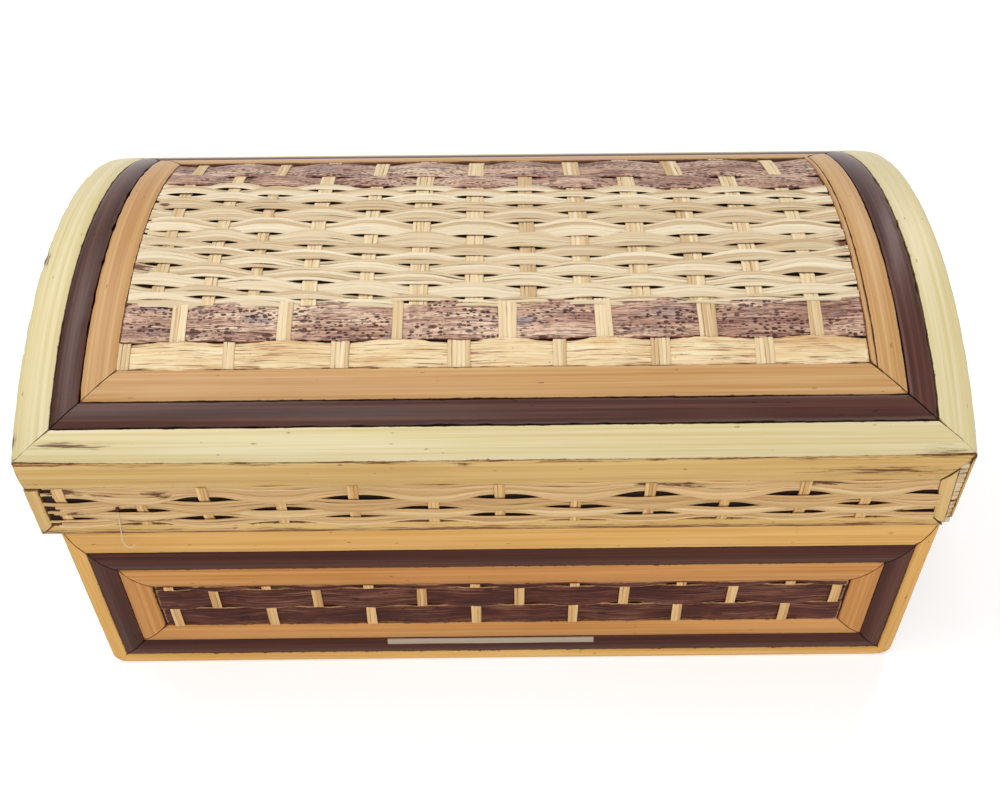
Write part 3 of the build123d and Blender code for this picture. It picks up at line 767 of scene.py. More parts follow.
DOME_COLOURS = {"pale": PALE, "dark": DARK, "tan": TAN}


def ring_edges(colour):
    """How far in a ring of the dome starts and ends, from the frame."""
    low, high = span(f"dome_{colour}_left", 0)
    return low - LID_LEFT, high - LID_LEFT


def ring_corners(inset):
    """Corners of the dome's outline, moved in on all sides."""
    low_u, high_u = LID_LEFT + inset, LID_RIGHT - inset
    low_v, high_v = inset, DOME_ARC - inset
    return [(low_u, low_v), (high_u, low_v), (high_u, high_v), (low_u, high_v)]


# How deeply the outer and inner edges are torn, and how far an edge stands off at its ends
TORN_EDGES = {
    "dome_pale_left": (0.35 * MM, 0.1 * MM),
    "dome_dark_left": (0.15 * MM, 0.55 * MM),
    "dome_dark_right": (0.5 * MM, 0.2 * MM),
    "dome_tan_left": (0.35 * MM, 0.2 * MM),
    "dome_dark_front": (0.25 * MM, 0.15 * MM),
}
PLAIN_TORN = (0.12 * MM, 0.12 * MM)
OPENED_EDGES = {"dome_pale_front": 0.7 * MM, "dome_pale_back": 0.4 * MM}
SPLIT_AT, SPLIT_GAP = 0.8, 0.12 * MM
DOME_STAINS_AND_SHADE = {
    "dome_pale_left": [((-127.0, -13.9, 121.0), (1.6, 4.0, 3.0)), ((-127.0, -67.0, 102.0), (1.5, 3.0, 4.0))],
    # dark streaks over the front wall of the back tan strip: painted shade, where the wall lies in shadow
    "dome_tan_back": [((place, 46.4, 110.6), (70.0, 0.9, 1.8)) for place in (-80.0, -20.0, 40.0, 90.0)],
    "dome_pale_front": [((-112.0, -68.5, 101.5), (14.0, 1.2, 1.2)), ((118.0, -71.5, 99.6), (9.0, 1.4, 1.4))],
}


def split_in_two(corners, share_outer, gap):
    """Corners of the two parts of a strip that has split along its length."""
    a, b, c, d = (np.array(corner, float) for corner in corners)
    width = np.linalg.norm(((d + c) - (a + b)) / 2)
    far = share_outer + gap / width
    outer = (a, b, b + (c - b) * share_outer, a + (d - a) * share_outer)
    inner = (a + (d - a) * far, b + (c - b) * far, c, d)
    return outer, inner


def dome_strips():
    """The twelve strips of the dome's three rings."""
    for colour, material in DOME_COLOURS.items():
        near, far = ring_edges(colour)
        outside, inside = ring_corners(near), ring_corners(far)
        for number, side in enumerate(("front", "right", "back", "left")):
            after = (number + 1) % 4
            name = f"dome_{colour}_{side}"
            mesher = Mesher(stains_and_shade=DOME_STAINS_AND_SHADE.get(name, ()))
            corners = (outside[number], outside[after], inside[after], inside[number])
            parts = [corners]
            if name == "dome_tan_right":
                parts = split_in_two(corners, SPLIT_AT, SPLIT_GAP)
            rng = dice(name)
            torn, opened = TORN_EDGES.get(name, PLAIN_TORN), OPENED_EDGES.get(name, 0.0)
            for part in parts:
                strip(mesher, dome, part, rng, DOME_CAMBER, torn, opened)
            mesher.build(f"{colour}_strip_{side}", "lid", f"{colour}_bamboo", material, name)


dome_strips()


# The dome's woven panel, with its rows and stakes where the photograph shows them, in millimetres.
# The stakes of the two slats in front stand between those of the rattan rows, and end under the
# lowest row.

PANEL_INSET = ring_edges("tan")[1] + 0.1 * MM
SLAT_STAKES = [-99.7, -85.9, -71.4, -57.0, -41.3, -26.2, -9.3, 3.8, 17.9, 30.2, 45.1, 58.6, 73.1, 88.0]
SLAT_STAKE_WIDTHS = [3.2, 4.3, 3.1, 3.9, 5.0, 2.8, 6.0, 5.0, 3.6, 4.6, 5.2, 5.0, 5.0, 3.6]
FIBRE_STAKES = [-93.0, -78.7, -66.3, -50.9, -35.2, -20.6, -5.2, 9.9, 24.9, 41.1, 56.6, 72.3, 87.9]
FIBRE_STAKE_WIDTHS = [3.4, 3.6, 3.2, 4.2, 4.0, 5.2, 5.0, 4.4, 5.0, 5.2, 5.0, 4.8, 4.0]
PALE_ROW = (26.0, 34.0)
MOTTLED_ROW = (34.4, 46.4)
SLAT_STAKE_END = 47.2

# Edges of the rattan rows and of the two slats behind them, at the left, in the middle and at the right
ROW_EDGES = [
    (45.6, 44.8, 45.2),
    (50.0, 46.2, 46.3),
    (53.3, 47.6, 48.1),
    (57.0, 51.8, 50.7),
    (61.6, 55.8, 55.3),
    (66.8, 59.7, 61.5),
    (69.0, 63.2, 64.6),
    (71.6, 66.6, 68.2),
    (75.9, 71.8, 71.7),
    (81.1, 78.2, 76.6),
    (87.3, 83.9, 82.6),
    (92.2, 87.9, 85.8),
    (96.4, 92.6, 89.8),
    (100.8, 96.2, 93.2),
    (103.6, 98.8, 96.4),
    (111.0, 107.4, 105.6),
    (124.0, 123.3, 123.1),
]
EDGES_MEASURED_AT = 95.0
FAR_SLATS = 2
FIBRE_WIDTH = 1.15 * MM
DOME_FRAYED = 1.2 * MM
WEAVE_STAINS = [
    ((-99.5, -17.3, 120.7), (5.5, 3.6, 4.0)),
    ((-98.0, 11.6, 121.0), (2.6, 1.6, 3.0)),
    ((99.5, -10.0, 119.0), (3.0, 9.0, 4.0)),
    ((-60.0, -24.5, 116.5), (2.0, 1.2, 2.0)),
    ((14.0, -26.5, 116.0), (3.0, 1.0, 2.0)),
]


def row_edge(edge, along):
    """A row's edge as a curve through its three measured places."""
    left, middle, right = edge
    share = along / (EDGES_MEASURED_AT * MM)
    return (middle + (right - left) / 2 * share + ((left + right) / 2 - middle) * share**2) * MM


def dome_uprights():
    """The stakes of the dome: one set for the slats in front, and one for the rows behind them."""
    mesher = Mesher()
    rng = dice("dome_stakes")
    slat_bends = row_bends(mm([PALE_ROW[0], *MOTTLED_ROW]), False)
    for number, (place, width) in enumerate(zip(SLAT_STAKES, SLAT_STAKE_WIDTHS)):
        ends = (PANEL_INSET, SLAT_STAKE_END * MM)
        fibres = max(2, round(width * MM / FIBRE_WIDTH))
        stake(mesher, dome, place * MM, *ends, width * MM, rng, number, slat_bends, fibres)
    for number, (place, width) in enumerate(zip(FIBRE_STAKES, FIBRE_STAKE_WIDTHS)):
        rows = [row_edge(edge, place * MM) for edge in ROW_EDGES]
        ends = (rows[0] + 0.5 * MM, DOME_ARC - PANEL_INSET)
        fibres = max(2, round(width * MM / FIBRE_WIDTH))
        bends = row_bends([*rows, DOME_ARC], True)
        stake(mesher, dome, place * MM, *ends, width * MM, rng, number, bends, fibres)
    mesher.build("dome_uprights", "lid", "stake", STAKE, "dome_stakes")


def front_slats(along):
    """The pale and the mottled slat in front of the rattan rows."""
    stakes = mm(SLAT_STAKES)
    for name, row, over, slot, material in (
        ("pale_slat", PALE_ROW, False, "pale_bark", PALE_BARK),
        ("dark_slat", MOTTLED_ROW, True, "brown_bark", BROWN_BARK),
    ):
        mesher = Mesher()
        bottom, top = mm(row)
        slat(mesher, dome, along, bottom, top, stakes, over, dice(name))
        mesher.build(f"dome_row_{name}", "lid", slot, material, f"dome_{name}")


def dome_rows(along):
    """The rattan rows, and the two slats behind them."""
    stakes = mm(FIBRE_STAKES)
    fibres, far = Mesher(stains_and_shade=WEAVE_STAINS), Mesher()
    rng = dice("dome_fibres")
    count = len(ROW_EDGES) - 1
    for number in range(count):
        bottom, top = row_edge(ROW_EDGES[number], along), row_edge(ROW_EDGES[number + 1], along)
        over = number % 2 == 0
        if number >= count - FAR_SLATS:
            slat(far, dome, along, bottom, top, stakes, over, rng)
            continue
        side_by_side = max(2, round(np.mean(top - bottom) / FIBRE_WIDTH))
        bundle(fibres, dome, along, bottom, top, stakes, over, side_by_side, rng, DOME_FRAYED)
    fibres.build("dome_row_fibres", "lid", "rattan_fibre", FIBRE, "dome_fibre_rows")
    far.build("dome_row_far", "lid", "brown_bark", BROWN_BARK, "dome_far_slats")


def dome_weave():
    """The woven panel inside the dome's strips."""
    along = samples_between(LID_LEFT + PANEL_INSET, LID_RIGHT - PANEL_INSET)
    dome_uprights()
    front_slats(along)
    dome_rows(along)


dome_weave()


# Upright faces: mitred frames round woven panels


def face_of(side, low, high, depth_low, depth_high, foot):
    """Surface of an upright face, with u from its middle to the right of someone who faces it."""
    middle_x, middle_y = (low + high) / 2, (depth_low + depth_high) / 2
    places = {
        "front": ((middle_x, depth_low, foot), (1, 0, 0), (0, -1, 0)),
        "back": ((middle_x, depth_high, foot), (-1, 0, 0), (0, 1, 0)),
        "left": ((low, middle_y, foot), (0, -1, 0), (-1, 0, 0)),
        "right": ((high, middle_y, foot), (0, 1, 0), (1, 0, 0)),
    }
    origin, right, out = places[side]
    return flat(origin, right, (0, 0, 1), out)


def box_corners(box):
    """Corners of a box, round it from its lower left one."""
    left, right, bottom, top = box
    return [(left, bottom), (right, bottom), (right, top), (left, top)]


def framed(mesher, surface, outer, inner, rng, worn=0.0, **options):
    """Four mitred strips between two boxes, each given as left, right, bottom and top."""
    outside, inside = box_corners(outer), box_corners(inner)
    worn_ends = [(worn, worn), (worn, 0.0), (0.0, 0.0), (0.0, worn)]
    for number, ends in enumerate(worn_ends):
        after = (number + 1) % 4
        corners = (outside[number], outside[after], inside[after], inside[number])
        strip(mesher, surface, corners, rng, worn=ends, **options)


def inset_box(box, top, side, foot):
    """A box moved in by its rails and stiles."""
    left, right, low, high = box
    return (left + side, right - side, low + foot, high - top)


# The base's three bands on a face, from the outer one in: the widths of their top, sides and foot
BASE_BANDS = [
    ("pale", "golden_bamboo", GOLD, (12.5, 4.6, 4.2)),
    ("dark", "dark_bamboo", DARK, (8.1, 7.2, 7.7)),
    ("tan", "tan_bamboo", TAN, (8.4, 8.5, 8.0)),
]
FRONT_BARK_STAKES = [-98.2, -85.1, -68.9, -54.3, -38.4, -22.5, -6.4, 6.8, 23.4, 38.5, 55.4, 71.1, 88.1, 102.3]
END_STAKE_COUNT = 6
BARK_STAKE_WIDTH = 2.9 * MM
BARK_STAKE_FIBRES = 3
BARK_ROW = 9.2 * MM
BARK_DEPTH = 0.75 * MM
BARK_OVERLAP = 0.3 * MM
SLAT_SHORT = 0.7 * MM
WORN_CORNER = 4.0 * MM
# share of painted warm shade on the base: its dimmer, warmer light painted into the colour
BASE_WARM_SHADE = 1.0


def base_frames(side, surface, box, worn):
    """The three mitred frames of a face, one inside the other. Gives the box that they leave."""
    for colour, slot, material, (top, edge, foot) in BASE_BANDS:
        name = f"base_{side}_{colour}_frame"
        inner = inset_box(box, top * MM, edge * MM, foot * MM)
        mesher = Mesher(BASE_WARM_SHADE)
        framed(mesher, surface, box, inner, dice(name), worn if colour == "pale" else 0.0)
        mesher.build(f"{side}_{colour}_frame", "base", slot, material, name)
        box = inner
    return box


def base_weave(side, surface, box, stakes):
    """A face's panel: bark slats round stakes."""
    left, right, bottom, top = box
    rows = [bottom + number * BARK_ROW for number in range(4)]
    bends = row_bends(rows, False)
    name = f"base_{side}_weave"
    rng = dice(name)
    uprights = Mesher(BASE_WARM_SHADE)
    for number, place in enumerate(stakes):
        form = (BARK_STAKE_WIDTH, rng, number, bends, BARK_STAKE_FIBRES)
        stake(uprights, surface, place, bottom, top, *form)
    uprights.build(f"{side}_bark_uprights", "base", "stake", STAKE, name)
    slats = Mesher(BASE_WARM_SHADE)
    along = samples_between(left + SLAT_SHORT, right - SLAT_SHORT)
    panel = (bottom + BARK_OVERLAP, top + BARK_OVERLAP)
    for number, (low, high) in enumerate(zip(rows[:-1], rows[1:])):
        slat(slats, surface, along, low, high, stakes, number % 2 == 1, rng, panel, BARK_DEPTH)
    slats.build(f"{side}_bark_slats", "base", "dark_bark", DARK_BARK, name)


def wide_face(side):
    """The base's front or back."""
    surface = face_of(side, BASE_LEFT, BASE_RIGHT, BASE_FRONT, BASE_BACK, 0)
    half = (BASE_RIGHT - BASE_LEFT) / 2
    panel = base_frames(side, surface, (-half, half, 0, BASE_TOP), WORN_CORNER)
    base_weave(side, surface, panel, mm(FRONT_BARK_STAKES) - BASE_MIDDLE_X)


def narrow_face(side):
    """One of the base's ends, between the front's and the back's strips."""
    surface = face_of(side, BASE_LEFT, BASE_RIGHT, BASE_FRONT, BASE_BACK, 0)
    half = (BASE_BACK - BASE_FRONT) / 2 - STRIP_THICKNESS - STRIP_GAP
    panel = base_frames(side, surface, (-half, half, 0, BASE_TOP), 0.0)
    left, right = panel[:2]
    stakes = left + (np.arange(END_STAKE_COUNT) + 0.5) * (right - left) / END_STAKE_COUNT
    base_weave(side, surface, panel, stakes)


wide_face("front")
wide_face("back")
narrow_face("left")
narrow_face("right")


# The lid's skirt

SKIRT_RAIL, SKIRT_FOOT, SKIRT_STILE, HINGE_RAIL = 10.1 * MM, 3.8 * MM, 4.0 * MM, 11.0 * MM
SKIRT_STAKES = [-118.0, -96.7, -79.1, -58.6, -38.6, -16.9, 1.3, 22.1, 42.1, 62.7, 84.0, 101.4]
SKIRT_STAKE_WIDTH = 2.9 * MM
SKIRT_ROWS = [3.5, 6.2, 9.4, 13.7, 19.9]
HINGE_SIDE_ROWS = [11.0, 15.2, 19.3]
# shares of painted warm shade on the skirt's frame and on its weave
SKIRT_WARM_SHADE = 0.25
SKIRT_WEAVE_WARM_SHADE = 1.0
SKIRT_STAKE_FIBRES = 3
SKIRT_FIBRE_WIDTH = 1.2 * MM
SKIRT_FRAYED = 6 * MM
SKIRT_TOP_GAP = 0.25 * MM
SKIRT_STAINS = [
    ((-117.0, -72.0, 86.5), (7.5, 2.0, 2.4)),
    ((-114.0, -72.0, 78.2), (4.0, 2.0, 1.6)),
    ((-106.0, -72.0, 85.4), (5.0, 2.0, 1.0)),
    ((-91.5, -72.0, 86.0), (5.0, 2.0, 2.2)),
    ((-95.0, -72.0, 75.0), (10.0, 2.0, 1.0)),
    ((40.0, -72.0, 87.5), (4.0, 2.0, 1.2)),
    ((51.0, -72.0, 87.6), (9.0, 2.0, 1.5)),
    ((87.0, -72.0, 87.6), (7.0, 2.0, 1.2)),
    ((112.0, -72.0, 75.5), (3.0, 2.0, 1.0)),
]


def weave_rows(name, node, surface, box, stakes, rows, warm_shade, rng, stains_and_shade=(), frayed=0.0):
    """Rows of rattan bundles round uprights, in a box of the surface."""
    left, right, bottom, top = box
    bends = row_bends(rows, True)
    uprights = Mesher(warm_shade)
    for number, place in enumerate(stakes):
        form = (SKIRT_STAKE_WIDTH, rng, number, bends, SKIRT_STAKE_FIBRES)
        stake(uprights, surface, place, bottom, top, *form)
    uprights.build(f"{name}_uprights", "lid", "stake", STAKE, node)
    fibres = Mesher(warm_shade, stains_and_shade)
    for number, (low, high) in enumerate(zip(rows[:-1], rows[1:])):
        count = max(3, round((high - low) / SKIRT_FIBRE_WIDTH))
        along = samples_between(left, right)
        over = number % 2 == 0
        bundle(fibres, surface, along, low, high, stakes, over, count, rng, frayed, SKIRT_BUNDLE)
    fibres.build(f"{name}_rows", "lid", "rattan_fibre", FIBRE, node)


def skirt_back():
    """The lid's back: a mitred frame with a wide hinge rail round two rows of rattan."""
    surface = face_of("back", LID_LEFT, LID_RIGHT, LID_FRONT, LID_BACK, LID_FOOT)
    box = (-LID_HALF, LID_HALF, 0, SKIRT_HEIGHT - SKIRT_TOP_GAP)
    inner = inset_box(box, SKIRT_RAIL, SKIRT_STILE, HINGE_RAIL)
    mesher = Mesher(SKIRT_WARM_SHADE)
    framed(mesher, surface, box, inner, dice("skirt_back"), camber=SKIRT_CAMBER)
    mesher.build("skirt_back_frame", "lid", "golden_bamboo", GOLD, "lid_back_frame")
    weave = (surface, inner, mm(SKIRT_STAKES), mm(HINGE_SIDE_ROWS), SKIRT_WARM_SHADE)
    weave_rows("skirt_back", "lid_back_weave", *weave, dice("skirt_back_weave"))


# The front skirt's strips, in millimetres from the lid's middle and foot: at its right end the stile
# leans, and the weave shows beyond it as far as a thin strip at the corner
FRONT_STRIPS = [
    [(-127.0, 29.4), (127.0, 29.4), (119.8, 19.3), (-126.6, 19.3)],
    [(-127.0, 19.1), (-127.0, 0.0), (-123.0, 3.8), (-123.0, 19.1)],
    [(-127.0, 0.0), (125.4, 0.0), (121.6, 3.8), (-123.0, 3.8)],
    [(125.4, 0.9), (123.9, 24.0), (119.9, 19.4), (121.5, 3.7)],
]
FRONT_STAINS_AND_SHADE = [
    ((101.0, -72.0, 93.2), (30.0, 2.0, 2.3)),
    ((-8.0, -72.0, 96.5), (3.0, 2.0, 1.0)),
    # along the foot's lower edge: partly brown stain, partly painted shadow of the gap over the base
    *(((place, -72.5, 69.4), (60.0, 3.0, 3.2)) for place in (-110.0, -60.0, -10.0, 40.0, 90.0)),
    # darker along the upper rail's top edge
    *(((place, -72.5, 99.0), (60.0, 3.0, 1.7)) for place in (-110.0, -50.0, 10.0, 70.0, 120.0)),
]
CORNER_STRIP = [(127.0, 3.4), (127.0, 29.2), (126.1, 27.8), (126.2, 4.6)]
CORNER_CAMBER, CORNER_WORN = 0.3 * MM, 0.8 * MM
CORNER_FIBRES = 14
CORNER_FIRST, CORNER_PITCH = 2.2 * MM, 1.85 * MM
CORNER_LEAN = 0.06
CORNER_ENDS = (125.4 * MM, 126.7 * MM)
CORNER_SAMPLES = 6
CORNER_WAVE = (6 * MM, 0.25 * MM)
CORNER_LIFT = (-0.75 * MM, -0.95 * MM)
CORNER_WIDTHS = (1.4, 2.0)
CORNER_THICKNESS = 0.6 * MM
STILE_LEAN = 1.5 * MM
SKIRT_TORN = (0.1 * MM, 0.15 * MM)
CORNER_STAINS = [
    ((126.4, -72.0, 95.6), (1.6, 2.0, 1.5)),
    ((125.2, -72.0, 91.3), (2.0, 2.0, 0.7)),
    ((126.2, -72.0, 85.6), (1.2, 2.0, 0.6)),
    ((125.4, -72.0, 79.6), (1.8, 2.0, 0.6)),
    ((126.0, -72.0, 73.0), (1.5, 2.0, 0.7)),
]


def skirt_front_frame(surface):
    """The rails and stiles of the lid's front, and the thin strip at its right corner."""
    mesher = Mesher(SKIRT_WARM_SHADE, FRONT_STAINS_AND_SHADE)
    rng = dice("skirt_front")
    for corners in FRONT_STRIPS:
        strip(mesher, surface, mm(corners), rng, SKIRT_CAMBER, SKIRT_TORN)
    strip(mesher, surface, mm(CORNER_STRIP), rng, CORNER_CAMBER, worn=(CORNER_WORN, 0))
    mesher.build("skirt_front_frame", "lid", "golden_bamboo", GOLD, "lid_front_frame")


def skirt_corner(surface):
    """Ends of the weave that show beyond the right stile."""
    mesher = Mesher(SKIRT_WARM_SHADE, CORNER_STAINS)
    rng = dice("skirt_corner")
    left, right = CORNER_ENDS
    for number in range(CORNER_FIBRES):
        height = CORNER_FIRST + number * CORNER_PITCH
        along = np.linspace(left - height * CORNER_LEAN, right, CORNER_SAMPLES)
        line = np.stack([along, height + ripple(rng, along, *CORNER_WAVE)], -1)
        lift = np.linspace(*CORNER_LIFT, CORNER_SAMPLES)
        width = np.full(CORNER_SAMPLES, rng.uniform(*CORNER_WIDTHS) * MM)
        turn = np.full(CORNER_SAMPLES, rng.uniform(-0.2, 0.2))
        fibre(mesher, surface, line, lift, width, CORNER_THICKNESS, turn, rng.uniform())
    mesher.build("skirt_corner_fibres", "lid", "rattan_fibre", FIBRE, "lid_front_weave")


def skirt_front():
    """The lid's front: rails and stiles round four rows of rattan."""
    surface = face_of("front", LID_LEFT, LID_RIGHT, LID_FRONT, LID_BACK, LID_FOOT)
    skirt_front_frame(surface)
    skirt_corner(surface)
    top = SKIRT_HEIGHT - SKIRT_TOP_GAP - SKIRT_RAIL
    inner = (-LID_HALF + SKIRT_STILE, LID_HALF - SKIRT_STILE - STILE_LEAN, SKIRT_FOOT, top)
    weave = (surface, inner, mm(SKIRT_STAKES), mm(SKIRT_ROWS), SKIRT_WEAVE_WARM_SHADE, dice("skirt_weave"))
    weave_rows("skirt_front", "lid_front_weave", *weave, SKIRT_STAINS, SKIRT_FRAYED)


skirt_front()
skirt_back()


# The lid's arched ends

ARCH_STRIP = 4.0 * MM
ARCH_DEPTH = STRIP_THICKNESS + STRIP_GAP
ARCH_INNER_DEPTH = ARCH_DEPTH + ARCH_STRIP
ARCH_HALF = LID_HALF_DEPTH - ARCH_DEPTH
ARCH_PANEL_HALF = ARCH_HALF - ARCH_STRIP
ARCH_FOOT = LID_FOOT + SKIRT_FOOT
ARCH_CAMBER = 0.5 * MM
ARCH_ROWS = 10
ARCH_STAKE_FIBRES = 4
ARCH_ROW_FIBRES = 3
# share of painted warm shade on the arched ends' weave
ARCH_WARM_SHADE = 0.5


def arched_frame(side, surface):
    """An arched strip, a foot rail and two short stiles."""
    mesher = Mesher(SKIRT_WARM_SHADE)
    rng = dice(f"arched_{side}")
    outer_lean = asin(ARCH_HALF / (DOME_RADIUS - ARCH_DEPTH))
    inner_lean = asin(ARCH_PANEL_HALF / (DOME_RADIUS - ARCH_INNER_DEPTH))
    leans = (-outer_lean, outer_lean, inner_lean, -inner_lean)
    arcs = [(DOME_LEAN + lean) * DOME_RADIUS for lean in leans]
    depths = (ARCH_DEPTH, ARCH_DEPTH, ARCH_INNER_DEPTH, ARCH_INNER_DEPTH)
    curve = arched_edge(-1 if side == "left" else 1)
    strip(mesher, curve, list(zip(arcs, depths)), rng, ARCH_CAMBER)
    foot = [(-ARCH_HALF, LID_FOOT), (ARCH_HALF, LID_FOOT)]
    foot += [(ARCH_PANEL_HALF, ARCH_FOOT), (-ARCH_PANEL_HALF, ARCH_FOOT)]
    strip(mesher, surface, foot, rng)
    shoulder = float(under_dome(LID_MIDDLE + ARCH_HALF, ARCH_DEPTH))
    inner_shoulder = float(under_dome(LID_MIDDLE + ARCH_PANEL_HALF, ARCH_INNER_DEPTH))
    for edge in (-1, 1):
        outer, inner = edge * ARCH_HALF, edge * ARCH_PANEL_HALF
        corners = [(outer, LID_FOOT), (outer, shoulder), (inner, inner_shoulder), (inner, ARCH_FOOT)]
        strip(mesher, surface, corners, rng)
    mesher.build(f"arched_{side}_frame", "lid", "golden_bamboo", GOLD, f"lid_{side}_frame")


def arched_weave(side, surface):
    """Rows of rattan round stakes, cut to the arch."""
    rng = dice(f"arched_{side}_weave")
    rows = np.linspace(ARCH_FOOT, DOME_TOP - ARCH_INNER_DEPTH, ARCH_ROWS + 1)
    places = np.arange(END_STAKE_COUNT) - (END_STAKE_COUNT - 1) / 2
    stakes = places * 2 * ARCH_PANEL_HALF / END_STAKE_COUNT
    uprights, fibres = Mesher(ARCH_WARM_SHADE), Mesher(ARCH_WARM_SHADE)
    bends = row_bends(rows, True)
    for number, place in enumerate(stakes):
        top = float(under_dome(LID_MIDDLE + place, ARCH_INNER_DEPTH))
        form = (SKIRT_STAKE_WIDTH, rng, number, bends, ARCH_STAKE_FIBRES)
        stake(uprights, surface, place, ARCH_FOOT, top, *form)
    for number, (low, high) in enumerate(zip(rows[:-1], rows[1:])):
        reach = sqrt((DOME_RADIUS - ARCH_INNER_DEPTH) ** 2 - ((low + high) / 2 - DOME_AXIS) ** 2)
        reach = min(ARCH_PANEL_HALF, reach)
        along, over = samples_between(-reach, reach), number % 2 == 0
        bundle(fibres, surface, along, low, high, stakes, over, ARCH_ROW_FIBRES, rng)
    uprights.build(f"arched_{side}_uprights", "lid", "stake", STAKE, f"lid_{side}_weave")
    fibres.build(f"arched_{side}_rows", "lid", "rattan_fibre", FIBRE, f"lid_{side}_weave")


for side in ("left", "right"):
    surface = face_of(side, LID_LEFT, LID_RIGHT, LID_FRONT, LID_BACK, 0)
    arched_frame(side, surface)
    arched_weave(side, surface)


# Rims over the edges of the boards, and the cloth that lines the chest

RIM_WIDTH = 3.7 * MM
RIM_CAMBER = 0.25 * MM
# share of painted warm shade on the rims
RIM_WARM_SHADE = 0.5


def rim(name, body, node, out):
    """Four flat mitred strips over the edges of the boards."""
    low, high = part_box(node)
    level = high[2] if out > 0 else low[2]
    surface = flat((0, 0, level), (1, 0, 0), (0, 1, 0), (0, 0, out))
    box = (low[0], high[0], low[1], high[1])
    inner = (low[0] + RIM_WIDTH, high[0] - RIM_WIDTH, low[1] + RIM_WIDTH, high[1] - RIM_WIDTH)
    mesher = Mesher(RIM_WARM_SHADE)
    framed(mesher, surface, box, inner, dice(name), camber=RIM_CAMBER, thickness=high[2] - low[2])
    mesher.build(name, body, "golden_bamboo", GOLD, node)


rim("base_rim_strips", "base", "base_rim", 1)
rim("lid_rim_strips", "lid", "lid_rim", -1)

LINING_THICKNESS = 0.6 * MM
PUCKER = 0.5 * MM
PUCKER_WAVES = 8
PUCKER_FIRST, PUCKER_STEP, PUCKER_TURN = 9 * MM, 5 * MM, 0.8
BED_STEPS, WALL_STEPS = 24, 14
BED_SEAM = 0.6 * MM
LONG_STEPS, SHORT_STEPS = 96, 56


def around(count_long, count_short):
    """Places round a square from -1 to 1, in order."""
    long = np.linspace(-1, 1, count_long, endpoint=False)
    short = np.linspace(-1, 1, count_short, endpoint=False)
    sides = [
        np.stack([long, -np.ones_like(long)], -1),
        np.stack([np.ones_like(short), short], -1),
        np.stack([-long, np.ones_like(long)], -1),
        np.stack([-np.ones_like(short), -short], -1),
    ]
    return np.concatenate(sides)


def puckers(rng, x, y, z):
    """Soft uneven waves of glued cloth, from 0 to 1.5."""
    total = np.zeros_like(x)
    for number in range(PUCKER_WAVES):
        angle = number * PUCKER_TURN
        length = PUCKER_FIRST + number * PUCKER_STEP
        along = x * cos(angle) + y * sin(angle) + 0.7 * z
        total += np.sin(2 * pi * along / length + rng.uniform(0, 2 * pi))
    return np.clip(total / 4 + 0.5, 0, 1.5)


def lining(name, body, node, mouth, bed, mouthward):
    """Cloth glued over the inside of a box, from its mouth to its bed, with soft puckers."""
    low, high = (np.array(corner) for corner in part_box(node))
    middle, half = (low + high) / 2, (high - low) / 2
    outline = around(LONG_STEPS, SHORT_STEPS)

    def ring(inset, share, inside):
        """One turn of the cloth round the box: down a wall, or further in on the bed."""
        on_wall = 1.0 if inset == 0 else 0.0
        x = middle[0] + outline[:, 0] * (half[0] - inset)
        y = middle[1] + outline[:, 1] * (half[1] - inset)
        z = mouth + (bed(y) - mouth) * share
        lift = 0 * x
        if inside:
            lift = LINING_THICKNESS + PUCKER * min(share * 5, 1) * puckers(dice(name), x, y, z)
        x = x - outline[:, 0] * on_wall * lift
        y = y - outline[:, 1] * on_wall * lift
        return np.stack([x, y, z + mouthward * (share == 1) * lift], -1)

    insets = np.linspace(half[1] - BED_SEAM, 0, BED_STEPS + 1)[:-1]
    shares = np.linspace(1, 0, WALL_STEPS + 1)
    places = [(inset, 1) for inset in insets] + [(0, share) for share in shares]
    outer = [ring(*place, False) for place in places]
    inner = [ring(*place, True) for place in reversed(places)]
    rings = np.stack(outer + inner)
    mesher = Mesher()
    mesher.bar(rings, np.zeros((len(rings), len(outline) + 1, 2)), 1.0, 0.5)
    return mesher.build(name, body, "lining", LINING, node)


def linings():
    """The two cloths, and the sizes that they were cut to."""
    low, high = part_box("base_lining")
    cloth_piece = lining("base_cloth", "base", "base_lining", high[2], lambda y: low[2] + 0 * y, 1)
    low_lid, high_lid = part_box("lid_lining")
    ceiling = DOME_TOP - high_lid[2]
    cloth_piece = lining("lid_cloth", "lid", "lid_lining", low_lid[2], lambda y: under_dome(y, ceiling), -1)


# Hinge screws

SCREW_PLACES = [-82.0, -68.0, 68.0, 82.0]
SCREW_HEAD_RADIUS = 1.3 * MM
SCREW_HEAD = 0.6 * MM
SCREW_SLOT = 0.35 * MM
SCREW_NECK = 0.95 * SCREW_HEAD_RADIUS
HEAD_PROFILE = [(1.0, 0.0), (1.0, 0.35), (0.85, 0.7), (0.55, 0.93), (0.3, 1.0)]


def half_head(mesher, surface, turn, way):
    """Half of a domed head, on one side of its slot."""
    angles = np.linspace(-pi / 2, pi / 2, 13)
    rings = []
    for radius, height in HEAD_PROFILE:
        x = way * np.maximum(SCREW_HEAD_RADIUS * radius * np.cos(angles), SCREW_SLOT / 2)
        y = SCREW_HEAD_RADIUS * radius * np.sin(angles)
        u, v = x * cos(turn) - y * sin(turn), x * sin(turn) + y * cos(turn)
        rings.append(surface(u, v, np.full(len(u), height * SCREW_HEAD)))
    mesher.bar(np.stack(rings), np.zeros((len(rings), len(angles) + 1, 2)), 1.0, 0.5)


